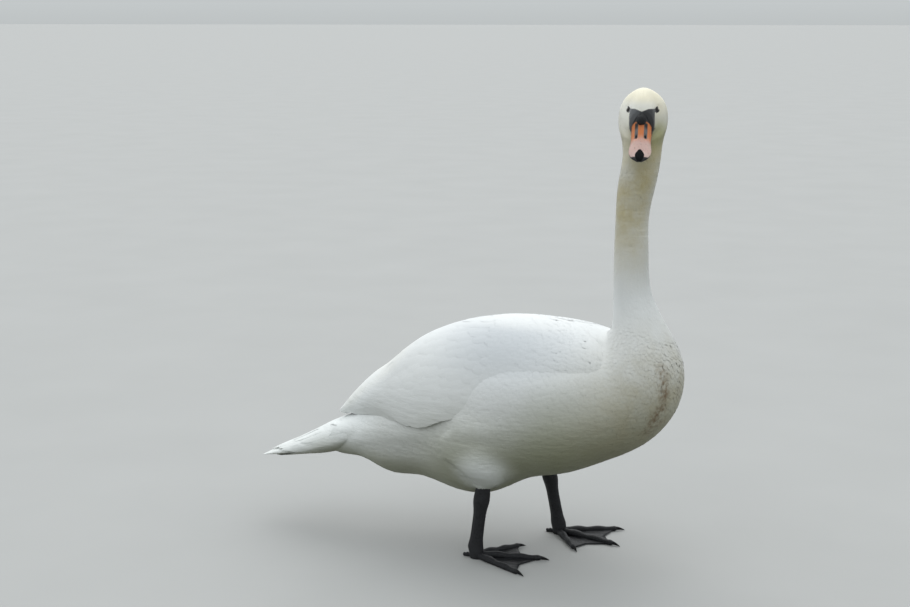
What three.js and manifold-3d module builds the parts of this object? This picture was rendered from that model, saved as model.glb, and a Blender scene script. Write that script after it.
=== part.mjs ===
// A mute swan (Cygnus olor), an adult female, standing with her left foot a step ahead and her head turned to
// her right. Life size, in millimetres: +X forward along the trunk, +Y to her left, +Z up, the floor at Z = 0.
//
// Trunk, neck and head are one long skin that runs from the tail's root to the bill. Each cross-section of it lies
// on a line from a point of the back to a point of the keel, so the sections fan out where the neck rises and again
// where the head bends over the throat. The neck turns about its own middle on the way up. Wings, tail, thighs and
// bill are shorter skins of the same kind, cut to fit against it.
import * as THREE from "three";
import { mergeVertices } from "three/addons/utils/BufferGeometryUtils.js";
import Module from "manifold-3d";

const wasm = await Module();
wasm.setup();

// ---- driving dimensions ----
const GAP = 0.3; // between neighbouring pieces
const HEAD_TURN = THREE.MathUtils.degToRad(-78.2); // of the head, about the vertical, to her right
const HEAD_PITCH = THREE.MathUtils.degToRad(40); // of the bill, below level
const HEAD_AXIS = 211.3; // forward place of the upright line that the head turns about
const BROW = { ahead: 14, height: 818 }; // where the head's own frame starts: ahead of that line, above the floor
const EYE = { along: 3.2, up: -3.8, outermost: 27, radius: 6.2 }; // in the head's own frame
const ANKLE = 22; // height at which shank and foot meet
const HOCK = 138; // height at which the bare leg leaves its feathers
const FEATHER = { white: 0xf2f1ec, tail: 0xefeee8 };
const BARE = { black: 0x1d1c1e, orange: 0xd9743f, leg: 0x34343a, eye: 0x1c0f08 };

// ---- the long skin: back and keel are [forward, up], half is the half width, wide is how far from keel to back the
// section is widest, over and under are how square its upper and lower halves are (2 is an ellipse) ----
const BODY_SECTIONS = [
  { part: "tail root", back: [-402, 188], keel: [-398, 152], half: 22, wide: 0.5, over: 2, under: 2 },
  { part: "rump end", back: [-372, 206], keel: [-366, 144], half: 40, wide: 0.5, over: 2, under: 2 },
  { part: "rump", back: [-318, 238], keel: [-316, 142], half: 61, wide: 0.5, over: 2, under: 2 },
  { part: "vent", back: [-255, 284], keel: [-256, 121], half: 83, wide: 0.5, over: 2, under: 2 },
  { part: "loins", back: [-185, 338], keel: [-190, 121], half: 105, wide: 0.5, over: 2, under: 2 },
  { part: "belly", back: [-105, 385], keel: [-118, 106], half: 126, wide: 0.5, over: 2, under: 2.1 },
  { part: "middle", back: [-30, 412], keel: [-48, 108], half: 137, wide: 0.52, over: 2.1, under: 2.1 },
  { part: "flank", back: [45, 422], keel: [22, 142], half: 138, wide: 0.5, over: 2.1, under: 2 },
  { part: "shoulder", back: [108, 420], keel: [92, 159], half: 132, wide: 0.48, over: 2.1, under: 2 },
  { part: "keel front", back: [146, 417], keel: [168, 191], half: 123, wide: 0.48, over: 2.1, under: 2 },
  { part: "lower breast", back: [161, 420], keel: [236, 230], half: 112, wide: 0.46, over: 2, under: 2 },
  { part: "breast", back: [166, 431], keel: [284, 295], half: 98, wide: 0.44, over: 2, under: 2 },
  { part: "upper breast", back: [168, 446], keel: [291, 362], half: 78, wide: 0.44, over: 2, under: 2 },
  { part: "neck root", back: [167.5, 472], keel: [266, 425], half: 54, wide: 0.46, over: 2, under: 2 },
  { part: "low neck", back: [166.5, 512], keel: [234, 488], half: 38, wide: 0.48, over: 2, under: 2 },
  { part: "slim neck", back: [166.5, 570], keel: [225.5, 564], half: 30, wide: 0.5, over: 2, under: 2 },
  { part: "middle neck", back: [168, 635], keel: [225.5, 635], half: 28.8, wide: 0.5, over: 2, under: 2 },
  { part: "upper neck", back: [172, 694], keel: [238, 694], half: 32.4, wide: 0.5, over: 2, under: 2 },
];
// the same above the neck, but forward of the line that the head turns about
const HEAD_SECTIONS = [
  { part: "neck top", back: [-33, 743], keel: [33, 743], half: 33, wide: 0.5, over: 2, under: 2 },
  { part: "nape", back: [-36, 789], keel: [33, 757], half: 38, wide: 0.5, over: 2, under: 2 },
  { part: "hind head", back: [-34, 822], keel: [33, 761], half: 42, wide: 0.58, over: 2.05, under: 2 },
  { part: "hind crown", back: [-17, 845], keel: [32.6, 763], half: 36.5, wide: 0.6, over: 2.25, under: 1.85 },
  { part: "crown", back: [5, 849.5], keel: [32.8, 764.3], half: 26, wide: 0.45, over: 2, under: 2.2 },
  { part: "forehead", back: [27, 839.5], keel: [33.1, 765.3], half: 23, wide: 0.46, over: 1.9, under: 2.5 },
  { part: "brow", back: [40, 824], keel: [33.8, 766.6], half: 21.6, wide: 0.48, over: 2, under: 2.6 },
  { part: "bill root", back: [46.5, 808], keel: [34.9, 768], half: 20.2, wide: 0.48, over: 2, under: 2.6 },
];
const SECTIONS = [
  ...BODY_SECTIONS,
  ...HEAD_SECTIONS.map((section) => ({
    ...section,
    back: [HEAD_AXIS + section.back[0], section.back[1]],
    keel: [HEAD_AXIS + section.keel[0], section.keel[1]],
  })),
];

/** Smooth cubic through [knots, values], with no bend at its ends. */
function naturalSpline(knots, values) {
  const last = knots.length - 1;
  const bend = new Array(last + 1).fill(0);
  const share = new Array(last + 1).fill(0);
  for (let i = 1; i < last; i++) {
    const before = knots[i] - knots[i - 1];
    const after = knots[i + 1] - knots[i];
    const pull = 6 * ((values[i + 1] - values[i]) / after - (values[i] - values[i - 1]) / before);
    const weight = 2 * (before + after) - before * share[i - 1];
    share[i] = after / weight;
    bend[i] = (pull - before * bend[i - 1]) / weight;
  }
  for (let i = last - 1; i > 0; i--) bend[i] -= share[i] * bend[i + 1];
  return (t) => {
    let i = 1;
    while (i < last && t > knots[i]) i++;
    const wide = knots[i] - knots[i - 1];
    const a = (knots[i] - t) / wide;
    const b = 1 - a;
    const cubic = ((a ** 3 - a) * bend[i - 1] + (b ** 3 - b) * bend[i]) * (wide ** 2 / 6);
    return a * values[i - 1] + b * values[i] + cubic;
  };
}

/** Smooth functions of the running length for each named number of a table of sections. */
function sectionCurves(sections) {
  const knots = [0];
  for (let i = 1; i < sections.length; i++) {
    const [a, b] = [sections[i - 1], sections[i]];
    const step = (from, to) => Math.hypot(to[0] - from[0], to[1] - from[1]);
    knots.push(knots[i - 1] + (step(a.back, b.back) + step(a.keel, b.keel)) / 2);
  }
  const column = (pick) => naturalSpline(knots, sections.map(pick));
  return {
    knots,
    at: (part) => knots[sections.findIndex((s) => s.part === part)],
    backX: column((s) => s.back[0]),
    backZ: column((s) => s.back[1]),
    keelX: column((s) => s.keel[0]),
    keelZ: column((s) => s.keel[1]),
    half: column((s) => s.half),
    wide: column((s) => s.wide),
    over: column((s) => s.over),
    under: column((s) => s.under),
  };
}

const power = (value, exponent) => Math.sign(value) * Math.abs(value) ** exponent;

/** [side, share] of a point of a cross-section: side is -1 to 1 across it, share 0 at the keel and 1 at the back. */
function eggPoint(angle, wide, over, under) {
  const up = Math.cos(angle);
  const square = 2 / (up > 0 ? over : under);
  const side = power(Math.sin(angle), square);
  const share = wide + (up > 0 ? 1 - wide : wide) * power(up, square);
  return [side, share];
}

const skin = sectionCurves(SECTIONS);
const NECK_TURNS = [skin.at("slim neck"), skin.at("neck top")]; // where the turn of the head starts and is whole

/** One ring of the long skin, at a running length; swell moves it outwards. */
function skinRing(at, around, swell = 0) {
  const [from, to] = NECK_TURNS;
  const turn = HEAD_TURN * THREE.MathUtils.smoothstep(at, from, to);
  const back = new THREE.Vector2(skin.backX(at), skin.backZ(at));
  const keel = new THREE.Vector2(skin.keelX(at), skin.keelZ(at));
  const axis = at < to ? (back.x + keel.x) / 2 : HEAD_AXIS;
  const outwards = back.clone().sub(keel).normalize().multiplyScalar(swell);
  back.add(outwards);
  keel.sub(outwards);
  const half = skin.half(at) + swell;
  return Array.from({ length: around }, (_, i) => {
    const angle = (2 * Math.PI * i) / around;
    const [side, share] = eggPoint(angle, skin.wide(at), skin.over(at), skin.under(at));
    const point = new THREE.Vector3(
      keel.x + (back.x - keel.x) * share - axis,
      -half * side,
      keel.y + (back.y - keel.y) * share,
    );
    return point.applyAxisAngle(new THREE.Vector3(0, 0, 1), turn).add(new THREE.Vector3(axis, 0, 0));
  });
}

/** Closed geometry over a row of rings, with a fan over each end. */
function ringsGeometry(rings) {
  const around = rings[0].length;
  const positions = rings.flat().flatMap((p) => p.toArray());
  const index = [];
  for (let r = 0; r + 1 < rings.length; r++)
    for (let i = 0; i < around; i++) {
      const a = r * around + i;
      const b = r * around + ((i + 1) % around);
      index.push(a, b, b + around, a, b + around, a + around);
    }
  for (const [ring, start, flip] of [
    [rings[0], 0, true],
    [rings.at(-1), (rings.length - 1) * around, false],
  ]) {
    const centre = positions.length / 3;
    positions.push(...middleOf(ring).toArray());
    for (let i = 0; i < around; i++) {
      const a = start + i;
      const b = start + ((i + 1) % around);
      index.push(...(flip ? [b, a, centre] : [a, b, centre]));
    }
  }
  return new THREE.BufferGeometry()
    .setAttribute("position", new THREE.Float32BufferAttribute(positions, 3))
    .setIndex(index);
}

/** A manifold-3d solid of a closed geometry, whichever way round its faces were wound. */
function toSolid(geometry) {
  const bare = geometry.clone();
  bare.deleteAttribute("normal");
  bare.deleteAttribute("uv");
  const merged = mergeVertices(bare, 1e-3);
  const triVerts = new Uint32Array(merged.index.array);
  const build = () =>
    new wasm.Manifold(new wasm.Mesh({ numProp: 3, vertProperties: merged.attributes.position.array, triVerts }));
  const solid = build();
  if (solid.volume() > 0) return solid;
  for (let i = 0; i < triVerts.length; i += 3) [triVerts[i], triVerts[i + 1]] = [triVerts[i + 1], triVerts[i]];
  return build();
}

const ringsSolid = (rings) => toSolid(ringsGeometry(rings));

const middleOf = (ring) => ring.reduce((sum, p) => sum.add(p), new THREE.Vector3()).divideScalar(ring.length);

/** A flat end ring moved by the gap along its own normal, away from the ring next to it. */
function endMoved(ring, next) {
  const third = Math.floor(ring.length / 3);
  const sides = [ring[third], ring[2 * third]].map((p) => p.clone().sub(ring[0]));
  const normal = sides[0].cross(sides[1]).normalize();
  const outwards = Math.sign(normal.dot(middleOf(ring).sub(middleOf(next))));
  return ring.map((p) => p.clone().addScaledVector(normal, outwards * GAP));
}

/** What leaves a gap around a stretch of the long skin: its rings swollen, and its two ends moved out. */
function skinCutter(ats, around) {
  const rings = ats.map((at) => skinRing(at, around, GAP));
  const [first, last] = [endMoved(rings[0], rings[1]), endMoved(rings.at(-1), rings.at(-2))];
  return ringsSolid([first, ...rings, last]);
}

/** Numbers from first to last, count of them, evenly spaced. */
const spaced = (first, last, count) =>
  Array.from({ length: count }, (_, i) => first + ((last - first) * i) / (count - 1));

/** Ellipse of a leg or toe: middle, half length along X, half width along Y, in a level plane. */
const levelRing = ([x, y, z], halfX, halfY, around) =>
  Array.from({ length: around }, (_, i) => {
    const angle = (2 * Math.PI * i) / around;
    return new THREE.Vector3(x + halfX * Math.cos(angle), y + halfY * Math.sin(angle), z);
  });

// ---- wings: folded, as a curved plate from near the middle of the back to the lower edge ----
const WING = [
  { x: 186, top: [-58, 384], low: [-92, 352], thick: 8 },
  { x: 164, top: [-52, 404], low: [-103, 346], thick: 12 },
  { x: 140, top: [-34, 420], low: [-110, 338], thick: 18 },
  { x: 100, top: [-12, 433], low: [-119, 318], thick: 26 },
  { x: 45, top: [-0.6, 439], low: [-129, 300], thick: 30 },
  { x: -20, top: [-0.6, 438.5], low: [-130, 288], thick: 32 },
  { x: -85, top: [-0.6, 429], low: [-132, 271], thick: 30 },
  { x: -150, top: [-0.6, 409], low: [-126, 253], thick: 28 },
  { x: -193, top: [-0.6, 385], low: [-110, 249], thick: 24 },
  { x: -225, top: [-0.6, 362], low: [-95, 255], thick: 18 },
  { x: -259, top: [-0.6, 335], low: [-76, 262], thick: 13 },
  { x: -297, top: [-0.6, 307], low: [-56, 259], thick: 9 },
  { x: -330, top: [-0.6, 275], low: [-34, 245], thick: 6 },
  { x: -352, top: [-0.6, 252], low: [-20, 236], thick: 4.5 },
  { x: -370, top: [-0.6, 231], low: [-9, 226], thick: 3 },
];
const WING_RINGS = 18;
const WING_SPAN_POINTS = 9;

/** One section of a folded wing, right side: over the outside from top to low, and back along the inside. */
function wingRing(curves, x) {
  const top = [Math.min(curves.topY(x), -GAP), curves.topZ(x)];
  const low = [curves.lowY(x), curves.lowZ(x)];
  const thick = curves.thick(x);
  const quarter = (shrink) => (angle) =>
    new THREE.Vector3(
      x,
      top[0] + (low[0] - top[0] + shrink) * Math.sin(angle),
      low[1] + (top[1] - low[1] - shrink) * Math.cos(angle),
    );
  const angles = spaced(0, Math.PI / 2, WING_SPAN_POINTS);
  return [...angles.map(quarter(0)), ...angles.toReversed().map(quarter(thick))];
}

function wingSolid() {
  const rows = WING.toReversed();
  const column = (pick) => naturalSpline(rows.map((row) => row.x), rows.map(pick));
  const curves = {
    topY: column((row) => row.top[0]),
    topZ: column((row) => row.top[1]),
    lowY: column((row) => row.low[0]),
    lowZ: column((row) => row.low[1]),
    thick: column((row) => row.thick),
  };
  return ringsSolid(spaced(rows[0].x, rows.at(-1).x, WING_RINGS).map((x) => wingRing(curves, x)));
}

// ---- tail: a flat wedge that narrows to its tip ----
const TAIL = [
  { part: "root", back: [-288, 246], keel: [-286, 190], half: 58, wide: 0.4, over: 2, under: 2 },
  { part: "coverts", back: [-345, 222], keel: [-341, 162], half: 58, wide: 0.38, over: 2.2, under: 2 },
  { part: "vanes", back: [-392, 202], keel: [-390, 144], half: 56, wide: 0.4, over: 2.2, under: 2 },
  { part: "fan", back: [-435, 177], keel: [-432, 138], half: 53, wide: 0.4, over: 2.4, under: 2 },
  { part: "narrows", back: [-482, 153], keel: [-478, 131], half: 44, wide: 0.4, over: 2.4, under: 2 },
  { part: "points", back: [-518, 135.5], keel: [-516, 124], half: 27, wide: 0.4, over: 2.4, under: 2 },
  { part: "tip", back: [-543, 122], keel: [-543, 118], half: 8, wide: 0.4, over: 2, under: 2 },
];
const TAIL_RINGS = 11;
const TAIL_AROUND = 18;

function tailSolid(swell) {
  const tail = sectionCurves(TAIL);
  const ring = (at) =>
    Array.from({ length: TAIL_AROUND }, (_, i) => {
      const angle = (2 * Math.PI * i) / TAIL_AROUND;
      const [side, share] = eggPoint(angle, tail.wide(at), tail.over(at), tail.under(at));
      return new THREE.Vector3(
        tail.keelX(at) + (tail.backX(at) - tail.keelX(at)) * share,
        -(tail.half(at) + swell) * side,
        tail.keelZ(at) - swell + (tail.backZ(at) - tail.keelZ(at) + 2 * swell) * share,
      );
    });
  return ringsSolid(spaced(0, tail.knots.at(-1), TAIL_RINGS).map(ring));
}

// ---- legs: each is given by where its hock and its foot are ----
const LEGS = {
  right: { side: -1, hock: [-46, -85, HOCK], heel: [-61, -85], toeIn: 14 },
  left: { side: 1, hock: [14, 97, HOCK], heel: [37.5, 98], toeIn: 14 },
};
const THIGH_ROWS = [
  // height above the hock, how far ahead of it and inwards, half length, half width
  { rise: 92, ahead: 30, inwards: 14, along: 46, across: 28 },
  { rise: 58, ahead: 20, inwards: 4, along: 40, across: 27 },
  { rise: 34, ahead: 12, inwards: 0, along: 33, across: 26 },
  { rise: 17, ahead: 7, inwards: 0, along: 27.5, across: 23 },
  { rise: 6, ahead: 3, inwards: 0, along: 21, across: 18 },
  { rise: 0, ahead: 1, inwards: 0, along: 15, across: 13 },
];
const SHANK_ROWS = [
  // height, half length, half width; the hock joint is the swelling near the top
  { height: HOCK - GAP, along: 13, across: 10 },
  { height: 123, along: 14.6, across: 11 },
  { height: 108, along: 15.2, across: 11.5 },
  { height: 92, along: 12.8, across: 9.8 },
  { height: 72, along: 11.8, across: 8.8 },
  { height: 48, along: 12, across: 8.6 },
  { height: 32, along: 13, across: 9.2 },
  { height: ANKLE + GAP, along: 14.4, across: 10.4 },
];
const LEG_AROUND = 14;

/** Middle of the bare leg at a height, on the straight line from hock to ankle. */
function shankMiddle(leg, height) {
  const [hockX, hockY, hockZ] = leg.hock;
  const share = (hockZ - height) / (hockZ - ANKLE);
  return [hockX + (leg.heel[0] - hockX) * share, hockY + (leg.heel[1] - hockY) * share, height];
}

const thighSolid = ({ side, hock: [x, y, z] }) =>
  ringsSolid(
    THIGH_ROWS.map(({ rise, ahead, inwards, along, across }) =>
      levelRing([x + ahead, y - side * inwards, z + rise], along, across, LEG_AROUND),
    ),
  );

const shankSolid = (leg) =>
  ringsSolid(
    SHANK_ROWS.map(({ height, along, across }) => levelRing(shankMiddle(leg, height), along, across, LEG_AROUND)),
  );

// ---- feet: three long toes joined by webs, and a small hind toe; the soles are flat on the floor ----
const TOES = [
  { name: "inner", spread: 40, length: 98, root: 6.8, end: 4.6 },
  { name: "middle", spread: 0, length: 122, root: 7.4, end: 4.8 },
  { name: "outer", spread: -42, length: 116, root: 6.8, end: 4.6 },
];
const HIND_TOE = { spread: 165, length: 24, root: 4.6, end: 3.4 };
const JOINTS = 3; // swellings along a toe
const JOINT_SWELL = 0.09;
const TOE_AROUND = 8;
const TOE_RINGS = 7;
const CLAW = { length: 13, thick: 3.4 };
const WEB = { thick: 2.4, notch: 0.8 }; // notch is how far out the middle of a web's free edge reaches

/** Level direction of a toe, in the foot's own frame: X along the middle toe, Y to her left. */
const toeWay = (spread) => new THREE.Vector3(1, 0, 0).applyAxisAngle(new THREE.Vector3(0, 0, 1), THREE.MathUtils.degToRad(spread));

/** Ring that stands across a level direction, resting on the floor. */
function uprightRing(centre, way, halfWidth, halfHeight, around) {
  const across = new THREE.Vector3(-way.y, way.x, 0);
  return Array.from({ length: around }, (_, i) => {
    const angle = (2 * Math.PI * (i + 0.5)) / around;
    return centre
      .clone()
      .addScaledVector(across, halfWidth * Math.cos(angle))
      .add(new THREE.Vector3(0, 0, halfHeight * Math.sin(angle)));
  });
}

function toeSolid({ spread, length, root, end }, side) {
  const way = toeWay(spread * side);
  return ringsSolid(
    spaced(0, 1, TOE_RINGS).map((share) => {
      const swell = 1 + JOINT_SWELL * Math.cos(2 * Math.PI * JOINTS * share);
      const thick = (root + (end - root) * share) * swell;
      const centre = way.clone().multiplyScalar(length * share);
      centre.z = thick * 0.93;
      return uprightRing(centre, way, thick, thick, TOE_AROUND);
    }),
  );
}

/** A claw: a cone that bends down to the floor, from the end of a toe. */
function clawSolid({ spread, length, end }, side) {
  const way = toeWay(spread * side);
  return ringsSolid(
    [0, 0.5, 1].map((share) => {
      const thick = CLAW.thick * (1 - 0.8 * share ** 1.5);
      const centre = way.clone().multiplyScalar(length + GAP + CLAW.length * share);
      centre.z = end * 0.93 + 0.6 - (end * 0.93 - 0.6) * share ** 1.6;
      return uprightRing(centre, way, thick * 0.85, Math.min(thick, centre.z - 0.2), TOE_AROUND);
    }),
  );
}

/** The two webs as one flat sheet between the toes, with a hollow free edge between each two. */
function webSolid(side) {
  const ends = TOES.map(({ spread, length }) => toeWay(spread * side).multiplyScalar(length * 0.93));
  const outline = new THREE.Shape();
  outline.moveTo(-6, 0);
  outline.lineTo(ends[0].x, ends[0].y);
  for (const [a, b] of [[ends[0], ends[1]], [ends[1], ends[2]]]) {
    const middle = a.clone().add(b).multiplyScalar(0.5 * WEB.notch);
    outline.quadraticCurveTo(middle.x, middle.y, b.x, b.y);
  }
  outline.closePath();
  return toSolid(new THREE.ExtrudeGeometry(outline, { depth: WEB.thick, bevelEnabled: false, curveSegments: 8 }));
}

/** The foot below the ankle: toes, webs and the pad that they spring from, cut flat at the floor. */
function footSolid(side, topHalf) {
  const pad = ringsSolid([
    levelRing([0, 0, ANKLE], topHalf[0], topHalf[1], LEG_AROUND),
    levelRing([1, 0, 13], 13.4, 12, LEG_AROUND),
    levelRing([2, 0, 5], 13, 13, LEG_AROUND),
    levelRing([2, 0, -1], 11, 11, LEG_AROUND),
  ]);
  const floor = toSolid(new THREE.BoxGeometry(600, 600, 20).translate(0, 0, -10));
  return [...TOES, HIND_TOE]
    .map((toe) => toeSolid(toe, side))
    .reduce((sum, toe) => sum.add(toe), pad.add(webSolid(side)))
    .subtract(floor);
}

// ---- bill: in the head's own frame, X along the bill, Z up from it, from the point between the eyes ----
const BILL = [
  { x: 27, ridge: 10, edge: -20, half: 18.6, point: 1.9 },
  { x: 36, ridge: 9.5, edge: -20.6, half: 18.8, point: 1.8 },
  { x: 47, ridge: 3.5, edge: -21, half: 17.8, point: 1.75 },
  { x: 62, ridge: -3, edge: -21, half: 16.7, point: 1.8 },
  { x: 78, ridge: -8, edge: -20.2, half: 17.2, point: 1.9 },
  { x: 91, ridge: -11, edge: -19.4, half: 18.1, point: 2 },
  { x: 101, ridge: -13, edge: -19.6, half: 15.6, point: 2 },
  { x: 107.5, ridge: -16, edge: -20.8, half: 9.6, point: 2 },
  { x: 110.5, ridge: -19, edge: -21.8, half: 3.6, point: 2 },
];
const MANDIBLE = [
  { x: 24, depth: 6.5, half: 15.5 },
  { x: 40, depth: 6.3, half: 16 },
  { x: 62, depth: 5.2, half: 14.6 },
  { x: 84, depth: 4.2, half: 15.2 },
  { x: 96, depth: 3.4, half: 14.6 },
  { x: 104, depth: 2.2, half: 8.5 },
];
const KNOB = { x: 39.4, z: 7.9, radii: [10, 8.6, 9] };
const NOSTRIL = { x: 60.5, aside: 6.6, z: -6, radii: [6.2, 1.9, 5], splay: 0.1 };
const NAIL = { x: 103, halfLength: 12, halfWidth: 8.4 };

const billCurve = (rows, key) => naturalSpline(rows.map((row) => row.x), rows.map((row) => row[key]));
const bill = Object.fromEntries(["ridge", "edge", "half", "point"].map((key) => [key, billCurve(BILL, key)]));

/** Upper bill: a roof over a flat underside. */
function billSolid(swell = 0) {
  const roof = 11;
  return ringsSolid(
    spaced(BILL[0].x, BILL.at(-1).x + swell, 14).map((x) => {
      const [low, high, half] = [bill.edge(x) - swell, bill.ridge(x) + swell, bill.half(x) + swell];
      const points = spaced(0, Math.PI, roof).map((angle) => {
        const square = 2 / bill.point(x);
        return new THREE.Vector3(x, half * power(Math.cos(angle), square), low + 1 + (high - low - 1) * Math.sin(angle) ** square);
      });
      const under = [-0.9, -0.45, 0, 0.45, 0.9].map((side) => new THREE.Vector3(x, half * side, low));
      return [...points, ...under];
    }),
  );
}

/** Lower bill: a shallow tray, rounded below, under the upper one. */
function mandibleSolid() {
  const [depth, half] = ["depth", "half"].map((key) => billCurve(MANDIBLE, key));
  return ringsSolid(
    spaced(MANDIBLE[0].x, MANDIBLE.at(-1).x, 10).map((x) => {
      const top = bill.edge(x) - GAP;
      const below = spaced(0, Math.PI, 8).map(
        (angle) => new THREE.Vector3(x, half(x) * Math.cos(angle), top - 0.8 - depth(x) * Math.sin(angle)),
      );
      const above = [-0.95, 0, 0.95].map((side) => new THREE.Vector3(x, half(x) * side, top));
      return [...below, ...above];
    }),
  );
}

const ellipsoid = (radii, [x, y, z], wide, high) =>
  toSolid(new THREE.SphereGeometry(1, wide, high).scale(...radii).translate(x, y, z));

/** The head's own frame, as a matrix in the body's. */
function headMatrix() {
  const place = new THREE.Matrix4().makeTranslation(HEAD_AXIS, 0, BROW.height);
  place.multiply(new THREE.Matrix4().makeRotationZ(HEAD_TURN));
  place.multiply(new THREE.Matrix4().makeTranslation(BROW.ahead, 0, 0));
  return place.multiply(new THREE.Matrix4().makeRotationY(HEAD_PITCH));
}

const moved = (solid, matrix) => solid.transform(matrix.toArray());

/** BufferGeometry of a solid. */
function toGeometry(solid) {
  const { numProp, numVert, vertProperties, triVerts } = solid.getMesh();
  const positions = new Float32Array(numVert * 3);
  for (let i = 0; i < numVert; i++) positions.set(vertProperties.subarray(i * numProp, i * numProp + 3), i * 3);
  return new THREE.BufferGeometry()
    .setAttribute("position", new THREE.BufferAttribute(positions, 3))
    .setIndex(new THREE.BufferAttribute(new Uint32Array(triVerts), 1));
}

const material = (color, roughness) => new THREE.MeshStandardMaterial({ color, roughness, metalness: 0 });
const plumage = material(FEATHER.white, 0.75);
const black = material(BARE.black, 0.45);
const orange = material(BARE.orange, 0.4);
const legSkin = material(BARE.leg, 0.55);
const eyeLook = material(BARE.eye, 0.05);
const tailLook = material(FEATHER.tail, 0.7);

const body = new THREE.Group();

/** Adds a named mesh to a group, with its geometry about a place of its own. */
function put(group, name, solid, look, place = [0, 0, 0]) {
  const geometry = toGeometry(solid).translate(-place[0], -place[1], -place[2]);
  const mesh = new THREE.Mesh(geometry, look);
  mesh.name = name;
  mesh.position.set(...place);
  group.add(mesh);
}

// ---- trunk, neck and head: the same rings serve a piece and the slightly larger one that cuts its neighbours ----
const RINGS = { trunk: 25, lowerNeck: 11, upperNeck: 6, head: 14 };
const AROUND = { trunk: 28, neck: 20, head: 26 };
const seams = ["neck root", "upper neck", "nape"].map((part) => skin.at(part));
const trunkRings = spaced(0, seams[0], RINGS.trunk);
const headRings = spaced(seams[2] + 3 * GAP, skin.knots.at(-1), RINGS.head);
const skinSolid = (ats, around) => ringsSolid(ats.map((at) => skinRing(at, around)));
const trunk = skinSolid(trunkRings, AROUND.trunk);
const trunkCutter = skinCutter(trunkRings, AROUND.trunk);
const headWhole = skinSolid(headRings, AROUND.head);
const headCutter = skinCutter(headRings, AROUND.head);
const neckLower = skinSolid(spaced(seams[0] + 2.2 * GAP, seams[1], RINGS.lowerNeck), AROUND.neck);
const neckUpper = skinSolid(spaced(seams[1] + 1.2 * GAP, seams[2], RINGS.upperNeck), AROUND.neck);

const inHead = headMatrix();
const cutterInHead = moved(headCutter, inHead.clone().invert());
const eyePlace = (side) => [EYE.along, side * (EYE.outermost - EYE.radius), EYE.up];
const eyeball = (side, swell = 0) => ellipsoid(Array(3).fill(EYE.radius + swell), eyePlace(side), 12, 7);
const sockets = [-1, 1].map((side) => moved(eyeball(side, GAP), inHead));

put(body, "trunk", trunk, plumage);
put(body, "neck_lower", neckLower, plumage);
put(body, "neck_upper", neckUpper, plumage);
put(body, "head", sockets.reduce((solid, socket) => solid.subtract(socket), headWhole), plumage);

// ---- the bill, the knob over it and the eyes ----
const headGroup = new THREE.Group();
headGroup.applyMatrix4(inHead);
body.add(headGroup);
const nailCutter = (swell) =>
  toSolid(
    new THREE.CylinderGeometry(1, 1, 60, 20)
      .rotateX(Math.PI / 2)
      .scale(NAIL.halfLength + swell, NAIL.halfWidth + swell, 1)
      .translate(NAIL.x, 0, -10),
  );
const nostril = (side) => {
  const hole = new THREE.SphereGeometry(1, 8, 6).scale(...NOSTRIL.radii).rotateZ(side * NOSTRIL.splay);
  return toSolid(hole.translate(NOSTRIL.x, side * NOSTRIL.aside, NOSTRIL.z));
};
const billWhole = billSolid();
const billBody = billWhole.subtract(nailCutter(GAP)).subtract(cutterInHead);
put(headGroup, "bill_upper", billBody.subtract(nostril(-1)).subtract(nostril(1)), orange);
put(headGroup, "bill_nail", billWhole.intersect(nailCutter(0)), black);
const knob = ellipsoid(KNOB.radii, [KNOB.x, 0, KNOB.z], 14, 8);
put(headGroup, "bill_knob", knob.subtract(cutterInHead).subtract(billSolid(GAP)), black);
put(headGroup, "bill_lower", mandibleSolid().subtract(cutterInHead), black);
put(headGroup, "eye_right", eyeball(-1), eyeLook, eyePlace(-1));
put(headGroup, "eye_left", eyeball(1), eyeLook, eyePlace(1));

// ---- tail and wings ----
const mirrored = (solid) => solid.mirror([0, 1, 0]);
const tail = tailSolid(0).subtract(trunkCutter);
const wingRight = wingSolid().subtract(trunkCutter).subtract(tailSolid(GAP));
put(body, "tail", tail, tailLook);
put(body, "wing_right", wingRight, plumage);
put(body, "wing_left", mirrored(wingRight), plumage);

// ---- legs ----
const topHalf = [SHANK_ROWS.at(-1).along, SHANK_ROWS.at(-1).across];
for (const [name, leg] of Object.entries(LEGS)) {
  put(body, `thigh_${name}`, thighSolid(leg).subtract(trunkCutter), plumage);
  put(body, `shank_${name}`, shankSolid(leg).subtract(trunkCutter), legSkin);
  const foot = new THREE.Group();
  foot.position.set(leg.heel[0], leg.heel[1], 0);
  foot.rotation.z = THREE.MathUtils.degToRad(-leg.side * leg.toeIn);
  body.add(foot);
  put(foot, `foot_${name}`, footSolid(-leg.side, topHalf), legSkin);
  for (const toe of TOES) put(foot, `claw_${toe.name}_${name}`, clawSolid(toe, -leg.side), black);
}

// the part's frame: its origin is on the floor, under the middle of its box
const box = new THREE.Box3().setFromObject(body);
const middle = box.getCenter(new THREE.Vector3());
body.position.set(-middle.x, -middle.y, -box.min.z);
const swan = new THREE.Group();
swan.add(body);

export default swan;
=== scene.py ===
"""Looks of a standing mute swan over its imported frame.

One smooth skin stands for trunk, neck, head, wings, tail and thighs. Vanes of thin closed mesh lie over it:
short ones on the head, longer ones down the neck and trunk, and large ones on wings and tail. Bill, knob,
nail, eyes with their lids, shanks, webbed feet and claws are pieces of their own. Tables are in millimetres
in the swan's own frame, +X forward along the trunk, +Y to her left, +Z up; finished meshes are in metres in
the part's frame.
"""

import logging
import math
from dataclasses import dataclass, field
from enum import Enum
from typing import Callable, Iterable, Sequence

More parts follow.
